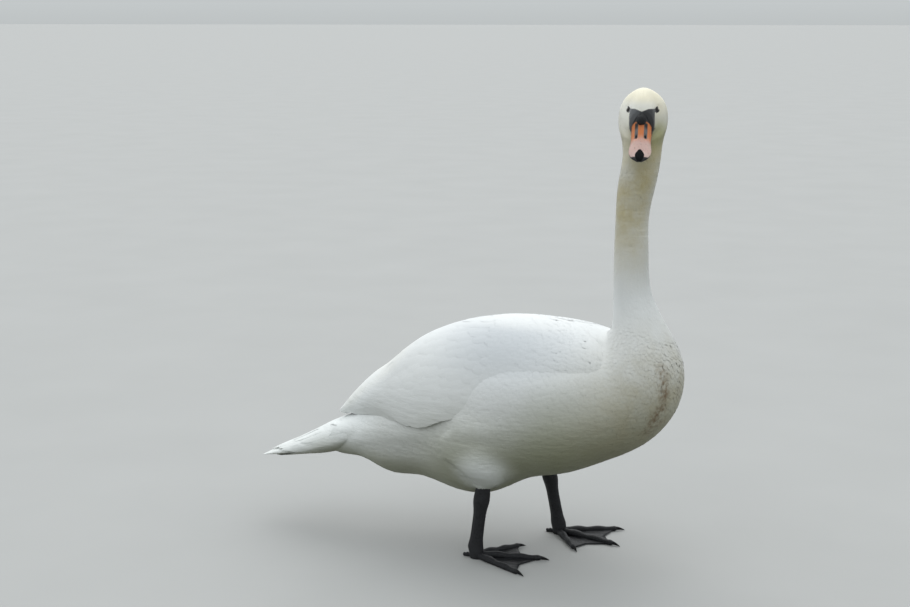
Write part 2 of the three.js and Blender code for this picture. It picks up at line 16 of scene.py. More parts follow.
import bpy
import numpy as np
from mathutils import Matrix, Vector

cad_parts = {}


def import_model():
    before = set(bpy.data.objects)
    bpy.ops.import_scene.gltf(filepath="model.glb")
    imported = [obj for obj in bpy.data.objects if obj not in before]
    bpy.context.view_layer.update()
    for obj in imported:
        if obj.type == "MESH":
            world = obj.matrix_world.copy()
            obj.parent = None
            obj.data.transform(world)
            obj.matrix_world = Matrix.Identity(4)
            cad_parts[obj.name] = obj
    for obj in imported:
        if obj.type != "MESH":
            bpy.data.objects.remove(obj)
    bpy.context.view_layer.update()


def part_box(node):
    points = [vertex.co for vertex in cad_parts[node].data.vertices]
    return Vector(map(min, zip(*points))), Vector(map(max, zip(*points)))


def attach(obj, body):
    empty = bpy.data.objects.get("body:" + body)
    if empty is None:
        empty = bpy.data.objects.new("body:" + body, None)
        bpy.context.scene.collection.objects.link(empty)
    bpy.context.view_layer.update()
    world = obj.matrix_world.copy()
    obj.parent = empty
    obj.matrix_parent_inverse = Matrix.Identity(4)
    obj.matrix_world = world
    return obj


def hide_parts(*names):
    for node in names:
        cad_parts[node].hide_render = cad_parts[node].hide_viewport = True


LOG = logging.getLogger("swan")
MM = 0.001
PER_METRE = 1000.0
TINY = 1e-9  # keeps a length of nought out of a division
UP = np.array([0, 0, 1.0])
Array = np.ndarray


class Side(Enum):
    """A side of the swan, with the sign of its Y."""

    RIGHT = -1
    LEFT = 1


class Slot(Enum):
    """Material slots of the part's record."""

    PLUMAGE = "plumage"
    TAIL = "tail_feathers"
    ORANGE = "bill_orange"
    BLACK = "bare_black"
    LEG = "leg_skin"
    EYE = "eye"


# ---------------------------------------------------------------- curves and surfaces


class Spline:
    """Natural cubic through a table: continuous slope and bend, and no bend at its two ends."""

    def __init__(self, knots: Sequence[float], values: Sequence[Sequence[float]]) -> None:
        """Solves the bends of the cubic.

        Args:
            knots: increasing places of the rows.
            values: one row of numbers for each knot.
        """
        self.knots = np.asarray(knots, float)
        self.values = np.asarray(values, float).reshape(len(self.knots), -1)
        width = np.diff(self.knots)
        matrix = np.eye(len(self.knots))
        inner = np.arange(1, len(self.knots) - 1)
        matrix[inner, inner - 1] = width[:-1]
        matrix[inner, inner] = 2 * (width[:-1] + width[1:])
        matrix[inner, inner + 1] = width[1:]
        right = np.zeros_like(self.values)
        right[1:-1] = 6 * np.diff(np.diff(self.values, axis=0) / width[:, None], axis=0)
        self.bend = np.linalg.solve(matrix, right)

    def __call__(self, t: Array) -> Array:
        """Values at t: the two nearest rows shared by distance, plus the cubic of their bends.

        Args:
            t: places of any shape.

        Returns:
            An array of t's shape with the table's columns as its last axis.
        """
        t = np.asarray(t, float)
        i = np.clip(np.searchsorted(self.knots, t), 1, len(self.knots) - 1)
        width = (self.knots[i] - self.knots[i - 1])[..., None]
        a = (self.knots[i] - t)[..., None] / width
        b = 1 - a
        cubic = ((a**3 - a) * self.bend[i - 1] + (b**3 - b) * self.bend[i]) * width**2 / 6
        return a * self.values[i - 1] + b * self.values[i] + cubic


def smoothstep(t: Array, low: float, high: float) -> Array:
    """0 below low, 1 above high, and 3s² − 2s³ of the share s between."""
    s = np.clip((np.asarray(t, float) - low) / (high - low), 0, 1)
    return s * s * (3 - 2 * s)


def between(t: Array, low: float, full: float, full_end: float, end: float) -> Array:
    """Smooth window: 0 up to low, 1 from full to full_end, and 0 again from end on."""
    return smoothstep(t, low, full) * smoothstep(t, end, full_end)


def power(value: Array, exponent: Array) -> Array:
    """Power that keeps the sign of its value."""
    return np.sign(value) * np.abs(value) ** exponent


def turned(points: Array, angle: Array, axis_x: Array) -> Array:
    """Points turned about upright lines through (axis_x, 0): x and y rotated by the angle, z kept.

    Args:
        points: array that ends in x, y, z.
        angle: turn in radians, one for each point.
        axis_x: forward place of the upright line, one for each point.

    Returns:
        The turned points.
    """
    c, s = np.cos(angle), np.sin(angle)
    x, y = points[..., 0] - axis_x, points[..., 1]
    return np.stack([axis_x + c * x - s * y, s * x + c * y, points[..., 2]], -1)


def shares(along: Array, across: Array, first: Array, second: Array) -> tuple[Array, Array]:
    """How much of two slopes a vector holds, from its dot products with them: a two by two system, solved.

    Args:
        along: the one slope.
        across: the other.
        first: the vector's dot product with the one.
        second: its dot product with the other.

    Returns:
        The two shares.
    """
    aa, ab, bb = ((u * v).sum(-1) for u, v in ((along, along), (along, across), (across, across)))
    size = aa * bb - ab * ab + TINY
    return (bb * first - ab * second) / size, (aa * second - ab * first) / size


class Surface:
    """A surface of two parameters: p runs along the lie of the feathers, q across it."""

    low_p: float = 0.0
    high_p: float = 1.0
    flow: float = 1.0  # +1 where the feathers point to larger p
    outward: float = 1.0  # turns the cross product of the two slopes outwards
    half_p: float = 0.5  # half steps that the slopes' differences are taken over
    half_q: float = 0.01

    def bare(self, p: Array, q: Array, swell: float) -> Array:
        """Points of the surface within its range, swollen outwards by so many millimetres."""
        raise NotImplementedError

    def at(self, p: Array, q: Array, swell: float = 0.0) -> Array:
        """Points in millimetres; past either end the surface goes on straight along its own slope.

        Args:
            p: place along.
            q: place across.
            swell: millimetres outwards.

        Returns:
            Points of the broadcast shape of p and q.
        """
        p, q = np.broadcast_arrays(np.asarray(p, float), np.asarray(q, float))
        inside = np.clip(p, self.low_p, self.high_p)
        points = self.bare(inside, q, swell)
        past = p - inside
        if np.any(past):
            back = np.where(past > 0, -1.0, 1.0)
            slope = (self.bare(inside + back, q, swell) - points) * back[..., None]
            points = points + slope * past[..., None]
        return points

    def swelling(self, points: Array) -> Array:
        """Soft pads of the plumage over the plain form, in millimetres; none unless a form has its own."""
        return np.zeros(points.shape[:-1])

    def slopes(self, p: Array, q: Array) -> tuple[Array, Array, Array, Array]:
        """Point, slope along p, slope along q and outward normal, from central differences.

        The normal leans against the rise of the pads: their two differences, solved in the slopes' own two
        by two system, give the rise along the surface that is taken off it.

        Args:
            p: place along.
            q: place across.

        Returns:
            The four arrays, each ending in x, y, z.
        """
        ahead, behind = self.at(p + self.half_p, q), self.at(p - self.half_p, q)
        left, right = self.at(p, q + self.half_q), self.at(p, q - self.half_q)
        along, across = (ahead - behind) / (2 * self.half_p), (left - right) / (2 * self.half_q)
        normal = np.cross(along, across) * self.outward
        normal /= np.linalg.norm(normal, axis=-1, keepdims=True) + TINY
        rise_p = (self.swelling(ahead) - self.swelling(behind)) / (2 * self.half_p)
        rise_q = (self.swelling(left) - self.swelling(right)) / (2 * self.half_q)
        share_p, share_q = shares(along, across, rise_p, rise_q)
        normal = normal - (along * share_p[..., None] + across * share_q[..., None])
        normal /= np.linalg.norm(normal, axis=-1, keepdims=True)
        return self.at(p, q), along, across, normal

    def moved(self, p: Array, q: Array, distance: Array, heading: Array) -> tuple[Array, Array]:
        """Parameters after a step over the surface.

        The step's direction is the lie turned by the heading about the normal. Its two shares along the
        slopes come from the two by two system of the slopes' dot products.

        Args:
            p: place along.
            q: place across.
            distance: millimetres of the step.
            heading: turn from the lie, in radians.

        Returns:
            New p and q.
        """
        _, along, across, normal = self.slopes(p, q)
        lie = self.flow * along / (np.linalg.norm(along, axis=-1, keepdims=True) + TINY)
        step = np.cos(heading)[..., None] * lie + np.sin(heading)[..., None] * np.cross(normal, lie)
        step = step * np.asarray(distance)[..., None]
        step_p, step_q = shares(along, across, (step * along).sum(-1), (step * across).sum(-1))
        return p + step_p, q + step_q


# back x, z | keel x, z | half width | widest share | squareness over, under (2 is an ellipse)
BODY_ROWS = (
    (-402, 188, -398, 152, 22, 0.5, 2, 2),
    (-372, 206, -366, 144, 40, 0.5, 2, 2),
    (-318, 238, -316, 142, 61, 0.5, 2, 2),
    (-255, 284, -256, 121, 83, 0.5, 2, 2),
    (-185, 338, -190, 121, 105, 0.5, 2, 2),
    (-105, 385, -118, 106, 126, 0.5, 2, 2.1),
    (-30, 412, -48, 108, 137, 0.52, 2.1, 2.1),
    (45, 422, 22, 142, 138, 0.5, 2.1, 2),
    (108, 420, 92, 159, 132, 0.48, 2.1, 2),
    (146, 417, 168, 191, 123, 0.48, 2.1, 2),
    (161, 420, 236, 230, 112, 0.46, 2, 2),
    (166, 431, 284, 295, 98, 0.44, 2, 2),
    (168, 446, 291, 362, 78, 0.44, 2, 2),
    (167.5, 472, 266, 425, 54, 0.46, 2, 2),
    (166.5, 512, 234, 488, 38, 0.48, 2, 2),
    (166.5, 570, 225.5, 564, 30, 0.5, 2, 2),
    (168, 635, 225.5, 635, 28.8, 0.5, 2, 2),
    (172, 694, 238, 694, 32.4, 0.5, 2, 2),
)
# the same above the neck, but forward of the line that the head turns about
HEAD_ROWS = (
    (-33, 743, 33, 743, 33, 0.5, 2, 2),
    (-36, 789, 33, 757, 38, 0.5, 2, 2),
    (-34, 822, 33, 761, 42, 0.58, 2.05, 2),
    (-17, 845, 32.6, 763, 36.5, 0.6, 2.25, 1.85),
    (5, 849.5, 32.8, 764.3, 26, 0.45, 2, 2.2),
    (27, 839.5, 33.1, 765.3, 23, 0.46, 1.9, 2.5),
    (40, 824, 33.8, 766.6, 21.6, 0.48, 2, 2.6),
    (46.5, 808, 34.9, 768, 20.2, 0.48, 2, 2.6),
)
HEAD_AXIS = 211.3  # forward place of the upright line that the head turns about
HEAD_TURN = math.radians(-78.2)
HEAD_PITCH = math.radians(40)
HEAD_AHEAD, HEAD_HEIGHT = 14.0, 818.0  # origin of the head's own frame, from that line
EYE = (3.2, 20.8, -3.8)  # middle of her left eye in the head's own frame
EYE_RADIUS = 6.2
LID_SLANT = 0.45  # how far the lids' line rises ahead
# the same columns once more
TAIL_ROWS = (
    (-288, 246, -286, 190, 58, 0.4, 2, 2),
    (-345, 222, -341, 162, 58, 0.38, 2.2, 2),
    (-392, 202, -390, 144, 56, 0.4, 2.2, 2),
    (-435, 177, -432, 138, 53, 0.4, 2.4, 2),
    (-482, 153, -478, 131, 44, 0.4, 2.4, 2),
    (-518, 135.5, -516, 124, 27, 0.4, 2.4, 2),
    (-543, 122, -543, 118, 8, 0.4, 2, 2),
)
# lines that the pads of the plumage end on, each as two lists that belong together
FLANK_END = ((150, 166, 176, 195, 228, 253), (-55, -62, -72, -104, -108, -84))  # height, forward place
WING_RIM = ((-75, -63, 20, 89, 180), (326, 336, 342, 346, 372))  # forward place, height
RUMP_EDGE = ((-367, -343, -317, -289, -243, -184, -149), (154, 165, 180, 194, 204, 218, 221))  # the same
SADDLE_LINE = ((15, 50, 98, 140, 168, 195), (0, 14, 12, 8, 3, 0))  # forward place, height of the pad itself
# heights of the pads and how soft the fillets are
FLANK_PAD, RIM_PAD, RUMP_PAD, RUMP_HOLLOW, TOP_EDGE_PAD = 6.0, 2.2, 3.2, 1.2, 3.5
THIGH_BULGE, THIGH_FILLET, TAIL_FILLET = 9.0, 12.0, 7.0
# x | top edge y, z | low edge y, z
WING_ROWS = (
    (-370, -0.6, 231, -9, 226),
    (-352, -0.6, 252, -20, 236),
    (-330, -0.6, 275, -34, 245),
    (-297, -0.6, 307, -56, 259),
    (-259, -0.6, 335, -76, 262),
    (-225, -0.6, 362, -95, 255),
    (-193, -0.6, 385, -110, 249),
    (-150, -0.6, 409, -126, 253),
    (-85, -0.6, 429, -132, 271),
    (-20, -0.6, 438.5, -130, 288),
    (45, -0.6, 439, -129, 300),
    (100, -12, 433, -119, 318),
    (140, -34, 420, -110, 338),
    (164, -52, 404, -103, 346),
    (186, -58, 384, -92, 352),
)


def running_length(rows: Array) -> Array:
    """Knots of a table of sections: the mean steps of its back points and keel points, added up."""
    steps = np.hypot(*np.diff(rows[:, 0:2], axis=0).T) + np.hypot(*np.diff(rows[:, 2:4], axis=0).T)
    return np.concatenate([[0], np.cumsum(steps / 2)])


class Sections(Surface):
    """Skin over fanned sections, each on a line from keel to back and a pair of half superellipses."""

    def __init__(self, rows: Array) -> None:
        """Fits the smooth curves of the table's columns over its running length."""
        self.knots = running_length(rows)
        self.curves = Spline(self.knots, rows)
        self.low_p, self.high_p = 0.0, float(self.knots[-1])

    def turn(self, p: Array, middle: Array) -> tuple[Array, Array]:
        """Turn about the upright at each place, and where that upright stands."""
        return np.zeros_like(p), middle

    def bare(self, p: Array, q: Array, swell: float) -> Array:
        """Ring point: sin(q) to the power 2/n to the side, and cos(q) likewise up from the widest share."""
        back_x, back_z, keel_x, keel_z, half, wide, over, under = np.moveaxis(self.curves(p), -1, 0)
        span = np.hypot(back_x - keel_x, back_z - keel_z)
        out_x, out_z = (back_x - keel_x) / span * swell, (back_z - keel_z) / span * swell
        back_x, back_z, keel_x, keel_z = back_x + out_x, back_z + out_z, keel_x - out_x, keel_z - out_z
        up = np.cos(q)
        square = 2 / np.where(up > 0, over, under)
        share = wide + np.where(up > 0, 1 - wide, wide) * power(up, square)
        flat = np.stack(
            [
                keel_x + (back_x - keel_x) * share,
                -(half + swell) * power(np.sin(q), square),
                keel_z + (back_z - keel_z) * share,
            ],
            -1,
        )
        angle, axis = self.turn(p, (back_x + keel_x) / 2)
        return turned(flat, angle, axis)


def tail_depth(points: Array) -> Array:
    """How far points lie inside the tail: along the line from its middle to the ellipse of its section."""
    x, y, z = np.moveaxis(points, -1, 0)
    rows = np.array(TAIL_ROWS, float)[::-1]
    top, low, half = (np.interp(x, rows[:, 0], rows[:, i]) for i in (1, 3, 4))
    up = z - (top + low) / 2
    share = np.hypot(up / (top - low) * 2, y / half) + 0.02
    return np.clip((1 / share - 1) * np.hypot(up, y), -60, 30)


def fillet(depth: Array, soft: float) -> Array:
    """Rise on to a form that a surface lies depth inside: 0, a parabola over ±soft, then the depth."""
    return np.where(depth > soft, depth, np.clip(depth + soft, 0, None) ** 2 / (4 * soft))


class LongSkin(Sections):
    """Trunk, neck and head in one: the neck turns about its own middle on the way up."""

    flow = -1.0
    outward = -1.0

    def __init__(self) -> None:
        """Joins the two tables and marks the stretch of the neck that turns."""
        head = np.array(HEAD_ROWS, float)
        head[:, [0, 2]] += HEAD_AXIS
        super().__init__(np.vstack([np.array(BODY_ROWS, float), head]))
        self.neck_root = float(self.knots[13])
        self.turns = (float(self.knots[15]), float(self.knots[18]))
        self.nape = float(self.knots[19])

    def swelling(self, points: Array) -> Array:
        """Pads of flank, wing's rim, rump coverts, thighs and saddle, as products of smooth windows.

        Over the tail's root, and down the outside of the thighs, the trunk runs out on to those forms in a
        fillet.

        Args:
            points: places on the plain form.

        Returns:
            Height of the pads at each.
        """
        x, y, z = np.moveaxis(points, -1, 0)
        ahead = x - np.interp(z, *FLANK_END)
        rise = z - np.interp(x, *WING_RIM)
        over = z - np.interp(x, *RUMP_EDGE)
        flank = FLANK_PAD * between(ahead, -16, 8, 12, 120) * between(z, 140, 180, 245, 290)
        rim = RIM_PAD * between(rise, -70, -8, -10, 20) * between(x, -120, 0, 100, 185)
        rump = RUMP_PAD * between(over, -30, 18, 16, 75) * between(x, -352, -296, -170, -120)
        hollow = RUMP_HOLLOW * between(over, -60, -20, -14, 4) * between(x, -380, -335, -150, -110)
        saddle = np.interp(x, *SADDLE_LINE) * between(z, 390, 406, 421, 434)
        tail = fillet(tail_depth(points), TAIL_FILLET) * between(x, -396, -366, -284, -262)
        sides = (flank + rim + rump - hollow) * smoothstep(np.abs(y), 45, 80)
        return sides + self.thigh_pads(x, y, z) + saddle * smoothstep(np.abs(y), 66, 42) + tail

    def thigh_pads(self, x: Array, y: Array, z: Array) -> Array:
        """A bell over each thigh's middle, and lower down a fillet on to the thigh's own ellipses.

        Args:
            x: forward places.
            y: places to her left.
            z: heights.

        Returns:
            Height of the two together at each place.
        """
        rows = np.array(THIGH_ROWS, float)
        total = 0.0
        for leg in LEGS:
            outer = leg.side.value * y
            bell = np.exp(-(((x - leg.hock[0] - 4) / 28) ** 2) - ((z - 182) / 30) ** 2)
            height = z - leg.hock_height
            ahead, inwards, along, across = (np.interp(height, rows[:, 0], rows[:, i]) for i in (1, 2, 3, 4))
            share = (x - leg.hock[0] - ahead) / along
            reach = leg.side.value * leg.hock[1] - inwards + across * np.sqrt(np.clip(1 - share**2, 0, 1))
            near = smoothstep(np.abs(share), 2.1, 0.6) * smoothstep(outer, 66, 94) * smoothstep(z, 240, 195)
            join = 0.6 * fillet(np.clip(reach - outer, -30, 17), THIGH_FILLET) * near
            total = total + THIGH_BULGE * smoothstep(outer, 45, 80) * bell + join
        return total

    def turn(self, p: Array, middle: Array) -> tuple[Array, Array]:
        """A smooth step from no turn at the slim neck to the whole turn at the neck's top."""
        angle = HEAD_TURN * smoothstep(p, *self.turns)
        return angle, np.where(p < self.turns[1], middle, HEAD_AXIS)


class WingForm(Surface):
    """Outside of a folded wing: p is x, and q goes round a quarter ellipse from top edge to low edge."""

    flow = -1.0

    def __init__(self, side: Side) -> None:
        """Fits the two edges.

        Args:
            side: right is as in the table, left is mirrored.
        """
        rows = np.array(WING_ROWS, float)
        self.side = side
        self.edges = Spline(rows[:, 0], rows[:, 1:])
        self.low_p, self.high_p = rows[0, 0], rows[-1, 0]
        self.outward = float(side.value)

    def bare(self, p: Array, q: Array, swell: float) -> Array:
        """Point between the edges: y by sin(q) from the top one, z by cos(q) from the low one."""
        top_y, top_z, low_y, low_z = np.moveaxis(self.edges(p), -1, 0)
        top_y = np.minimum(top_y, -0.3)
        y = top_y + (low_y - top_y - swell) * np.sin(q)
        z = low_z + (top_z - low_z + swell) * np.cos(q)
        return np.stack([p, -self.side.value * y, z], -1)

    def swelling(self, points: Array) -> Array:
        """Low step along the top edge, where the long feathers of the back end over those behind."""
        x, z = points[..., 0], points[..., 2]
        under = self.edges(np.clip(x, self.low_p, self.high_p))[..., 1] - z
        return TOP_EDGE_PAD * between(x, -254, -232, -205, -140) * smoothstep(under, 50, 10)

    def covers(self, points: Array, margin: float) -> Array:
        """Whether points lie under the wing, more than margin millimetres inside its edge and its outside."""
        inside = np.clip(points[..., 0], self.low_p, self.high_p)
        top_y, top_z, low_y, low_z = np.moveaxis(self.edges(inside), -1, 0)
        side = (np.abs(points[..., 1]) + top_y) / np.maximum(-(low_y - top_y) - margin, 1)
        rise = (points[..., 2] - low_z) / np.maximum(top_z - low_z - margin, 1)
        reach = (points[..., 0] > self.low_p + margin) & (points[..., 0] < self.high_p - margin)
        within = (rise > margin / 100) & (side**2 + rise**2 < 1)
        return reach & within & (points[..., 1] * self.side.value > margin - top_y - 1)


# height over the hock | ahead | inwards | half length | half width
THIGH_ROWS = (
    (-8, 0, 0, 12, 10.5),
    (0, 1, 0, 17, 15),
    (6, 3, 0, 22, 19.5),
    (17, 7, 0, 28, 23.5),
    (34, 12, 0, 34, 26.5),
    (58, 20, 4, 41, 27.5),
    (92, 30, 14, 47, 28),
)


@dataclass(frozen=True)
class LegPlace:
    """Where a leg stands: its hock and its heel, and how far the foot turns in."""

    side: Side
    hock: tuple[float, float]
    heel: tuple[float, float]
    toe_in: float = 14.0
    hock_height: float = 138.0
    ankle_height: float = 22.0


LEGS = (
    LegPlace(Side.RIGHT, (-46, -85), (-61, -85)),
    LegPlace(Side.LEFT, (14, 97), (37.5, 98)),
)


class ThighForm(Surface):
    """Feathered thigh: level ellipses, p is the height above the hock and q the angle round."""

    flow = -1.0

    def __init__(self, leg: LegPlace) -> None:
        """Fits the ellipses over their height."""
        rows = np.array(THIGH_ROWS, float)
        self.leg = leg
        self.curves = Spline(rows[:, 0], rows[:, 1:])
        self.low_p, self.high_p = rows[0, 0], rows[-1, 0]
        self.outward = -1.0

    def bare(self, p: Array, q: Array, swell: float) -> Array:
        """Point of the ellipse at height p: ahead and inwards of the hock, with its own two half lengths."""
        ahead, inwards, along, across = np.moveaxis(self.curves(p), -1, 0)
        x = self.leg.hock[0] + ahead + (along + swell) * np.cos(q)
        y = self.leg.hock[1] - self.leg.side.value * inwards + (across + swell) * np.sin(q)
        return np.stack([x, y, self.leg.hock_height + p], -1)


# ---------------------------------------------------------------- frame and mesh helpers


class Place:
    """Turns millimetres of the swan's frame into metres of the part's, and back for the head's own frame."""

    def __init__(self) -> None:
        """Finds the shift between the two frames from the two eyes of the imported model."""
        c, s = math.cos(HEAD_PITCH), math.sin(HEAD_PITCH)
        tilt = np.array([[c, 0, s], [0, 1, 0], [-s, 0, c]])
        c, s = math.cos(HEAD_TURN), math.sin(HEAD_TURN)
        swing = np.array([[c, -s, 0], [s, c, 0], [0, 0, 1]])
        self.head_axes = swing @ tilt
        self.head_origin = np.array([HEAD_AXIS, 0, HEAD_HEIGHT]) + swing @ np.array([HEAD_AHEAD, 0, 0])
        corners = [corner for node in ("eye_right", "eye_left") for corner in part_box(node)]
        self.shift = np.mean(corners, axis=0) - self.from_head(np.array([EYE[0], 0, EYE[2]])) * MM

    def from_head(self, points: Array) -> Array:
        """Head frame (along the bill, to her left, up) to the swan's frame, in millimetres."""
        return points @ self.head_axes.T + self.head_origin

    def to_head(self, points: Array) -> Array:
        """The swan's frame to the head's own, in millimetres."""
        return (points - self.head_origin) @ self.head_axes

    def metres(self, points: Array) -> Array:
        """The swan's frame in millimetres to the part's in metres."""
        return points * MM + self.shift


def eye_middle(side: Side) -> Array:
    """Middle of an eyeball in the head's own frame."""
    return np.array(EYE) * [1, side.value, 1]


def eye_axes(side: Side) -> Array:
    """Rows: ahead along the lids, up across them, and out of the eye, as the head's side leans there."""
    out = np.array([0.27, side.value * 0.81, 0.52])
    out /= np.linalg.norm(out)
    ahead = np.array([1.0, 0.0, LID_SLANT])
    ahead = ahead - out * (ahead @ out)
    ahead /= np.linalg.norm(ahead)
    return np.stack([ahead, np.cross(out, ahead) * -side.value, out])


@dataclass
class MeshData:
    """Vertices in the swan's frame, faces by size, UV maps by vertex, shading normals by face corner."""

    points: Array
    faces: list[Array]
    maps: dict[str, Array] = field(default_factory=dict)
    normals: list[Array] = field(default_factory=list)

    def plus(self, other: "MeshData") -> "MeshData":
        """Both meshes in one."""
        shift = len(self.points)
        maps = {name: np.vstack([self.maps[name], other.maps[name]]) for name in self.maps}
        points = np.vstack([self.points, other.points])
        faces = self.faces + [f + shift for f in other.faces]
        return MeshData(points, faces, maps, self.normals + other.normals)


def grid_faces(rows: int, columns: int, wrap: bool) -> Array:
    """Quads of a grid of rows by columns points, closed round across the rows where wrap is set."""
    last = columns if wrap else columns - 1
    r, c = np.meshgrid(np.arange(rows - 1), np.arange(last), indexing="ij")
    a, b = r * columns + c, r * columns + (c + 1) % columns
    return np.stack([a, b, b + columns, a + columns], -1).reshape(-1, 4)


def tube(points: Array) -> MeshData:
    """Closed mesh over rings: a grid closed round, with a fan to the middle of each end ring.

    Args:
        points: array of rings by points round by 3.

    Returns:
        The mesh, wound as the rings are.
    """
    rows, columns = points.shape[:2]
    flat = points.reshape(-1, 3)
    ends = np.stack([points[0].mean(0), points[-1].mean(0)])
    i = np.arange(columns)
    j = (i + 1) % columns
    first = np.stack([j, i, np.full(columns, rows * columns)], -1)
    last = np.stack([i, j, np.full(columns, rows * columns + 1)], -1)
    last[:, :2] += (rows - 1) * columns
    return MeshData(np.vstack([flat, ends]), [grid_faces(rows, columns, True), first, last])


def make_object(name: str, data: MeshData, place: Place, material: bpy.types.Material) -> bpy.types.Object:
    """Blender object of a mesh, at the origin, with its faces turned outwards as a whole and shaded smooth.

    Args:
        name: of the piece.
        data: its mesh in the swan's frame.
        place: the frames.
        material: its finish.

    Returns:
        The new object.
    """
    mesh = bpy.data.meshes.new(name)
    turn = -1 if signed_volume(data) < 0 else 1
    sizes = np.concatenate([np.full(len(f), f.shape[1]) for f in data.faces])
    corners = np.concatenate([f[:, ::turn].ravel() for f in data.faces]).astype(np.int32)
    points = place.metres(data.points).astype(np.float32)
    mesh.vertices.add(len(points))
    mesh.vertices.foreach_set("co", points.ravel())
    mesh.loops.add(len(corners))
    mesh.loops.foreach_set("vertex_index", corners)
    mesh.polygons.add(len(sizes))
    starts = np.concatenate([[0], np.cumsum(sizes)[:-1]]).astype(np.int32)
    mesh.polygons.foreach_set("loop_start", starts)
    mesh.polygons.foreach_set("use_smooth", np.ones(len(sizes), bool))
    for title, rows in data.maps.items():
        layer = mesh.uv_layers.new(name=title)
        layer.data.foreach_set("uv", rows[corners].astype(np.float32).ravel())
    mesh.update(calc_edges=True)
    mesh.validate()
    if data.normals:
        facing = np.concatenate([n[:, ::turn].reshape(-1, 3) for n in data.normals])
        mesh.normals_split_custom_set(facing.astype(np.float32))
    mesh.materials.append(material)
    piece = bpy.data.objects.new(name, mesh)
    bpy.context.scene.collection.objects.link(piece)
    return piece


def add_piece(
    name: str, data: MeshData, place: Place, material: bpy.types.Material, slot: Slot, *nodes: str
) -> None:
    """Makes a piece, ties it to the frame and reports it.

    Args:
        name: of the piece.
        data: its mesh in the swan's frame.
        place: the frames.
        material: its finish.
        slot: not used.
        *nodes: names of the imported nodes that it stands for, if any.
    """
    piece = make_object(name, data, place, material)
    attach(piece, "root")
    if nodes:
        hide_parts(*nodes)
    LOG.info("%s: %d faces", name, len(piece.data.polygons))


def signed_volume(data: MeshData) -> float:
    """Sum over the faces of a sixth of the triple product of their corners, as fans of triangles."""
    total = 0.0
    for faces in data.faces:
        p = data.points[faces]
        for k in range(1, faces.shape[1] - 1):
            total += float((p[:, 0] * np.cross(p[:, k], p[:, k + 1])).sum()) / 6
    return total


def united(name: str, pieces: Iterable[bpy.types.Object]) -> bpy.types.Object:
    """One closed mesh from overlapping closed ones, by Boolean unions.

    Args:
        name: of the piece that stays.
        pieces: the overlapping objects; all but the first are removed.

    Returns:
        The first object, with the united mesh.
    """
    first, *rest = pieces
    for other in rest:
        step = first.modifiers.new("join", "BOOLEAN")
        step.operation, step.object, step.solver = "UNION", other, "MANIFOLD"
    bpy.context.view_layer.update()
    mesh = bpy.data.meshes.new_from_object(first.evaluated_get(bpy.context.evaluated_depsgraph_get()))
    first.modifiers.clear()
    first.data, first.name = mesh, name
    mesh.name = name
    for other in rest:
        bpy.data.objects.remove(other)
    return first


# ---------------------------------------------------------------- shader helpers


class Val:
    """A socket with arithmetic: each operator adds the Math node that works it out."""

    def __init__(self, nodes: "Nodes", socket: bpy.types.NodeSocket) -> None:
        """Wraps a socket of a node tree."""
        self.nodes, self.socket = nodes, socket

    def __add__(self, other: "Val | float") -> "Val":
        """Sum."""
        return self.nodes.math("ADD", self, other)

    def __radd__(self, other: float) -> "Val":
        """Sum with a number first."""
        return self.nodes.math("ADD", other, self)

    def __sub__(self, other: "Val | float") -> "Val":
        """Difference."""
        return self.nodes.math("SUBTRACT", self, other)

    def __rsub__(self, other: float) -> "Val":
        """Difference from a number."""
        return self.nodes.math("SUBTRACT", other, self)

    def __mul__(self, other: "Val | float") -> "Val":
        """Product."""
        return self.nodes.math("MULTIPLY", self, other)

    def __rmul__(self, other: float) -> "Val":
        """Product with a number first."""
        return self.nodes.math("MULTIPLY", other, self)

    def __truediv__(self, other: "Val | float") -> "Val":
        """Quotient."""
        return self.nodes.math("DIVIDE", self, other)


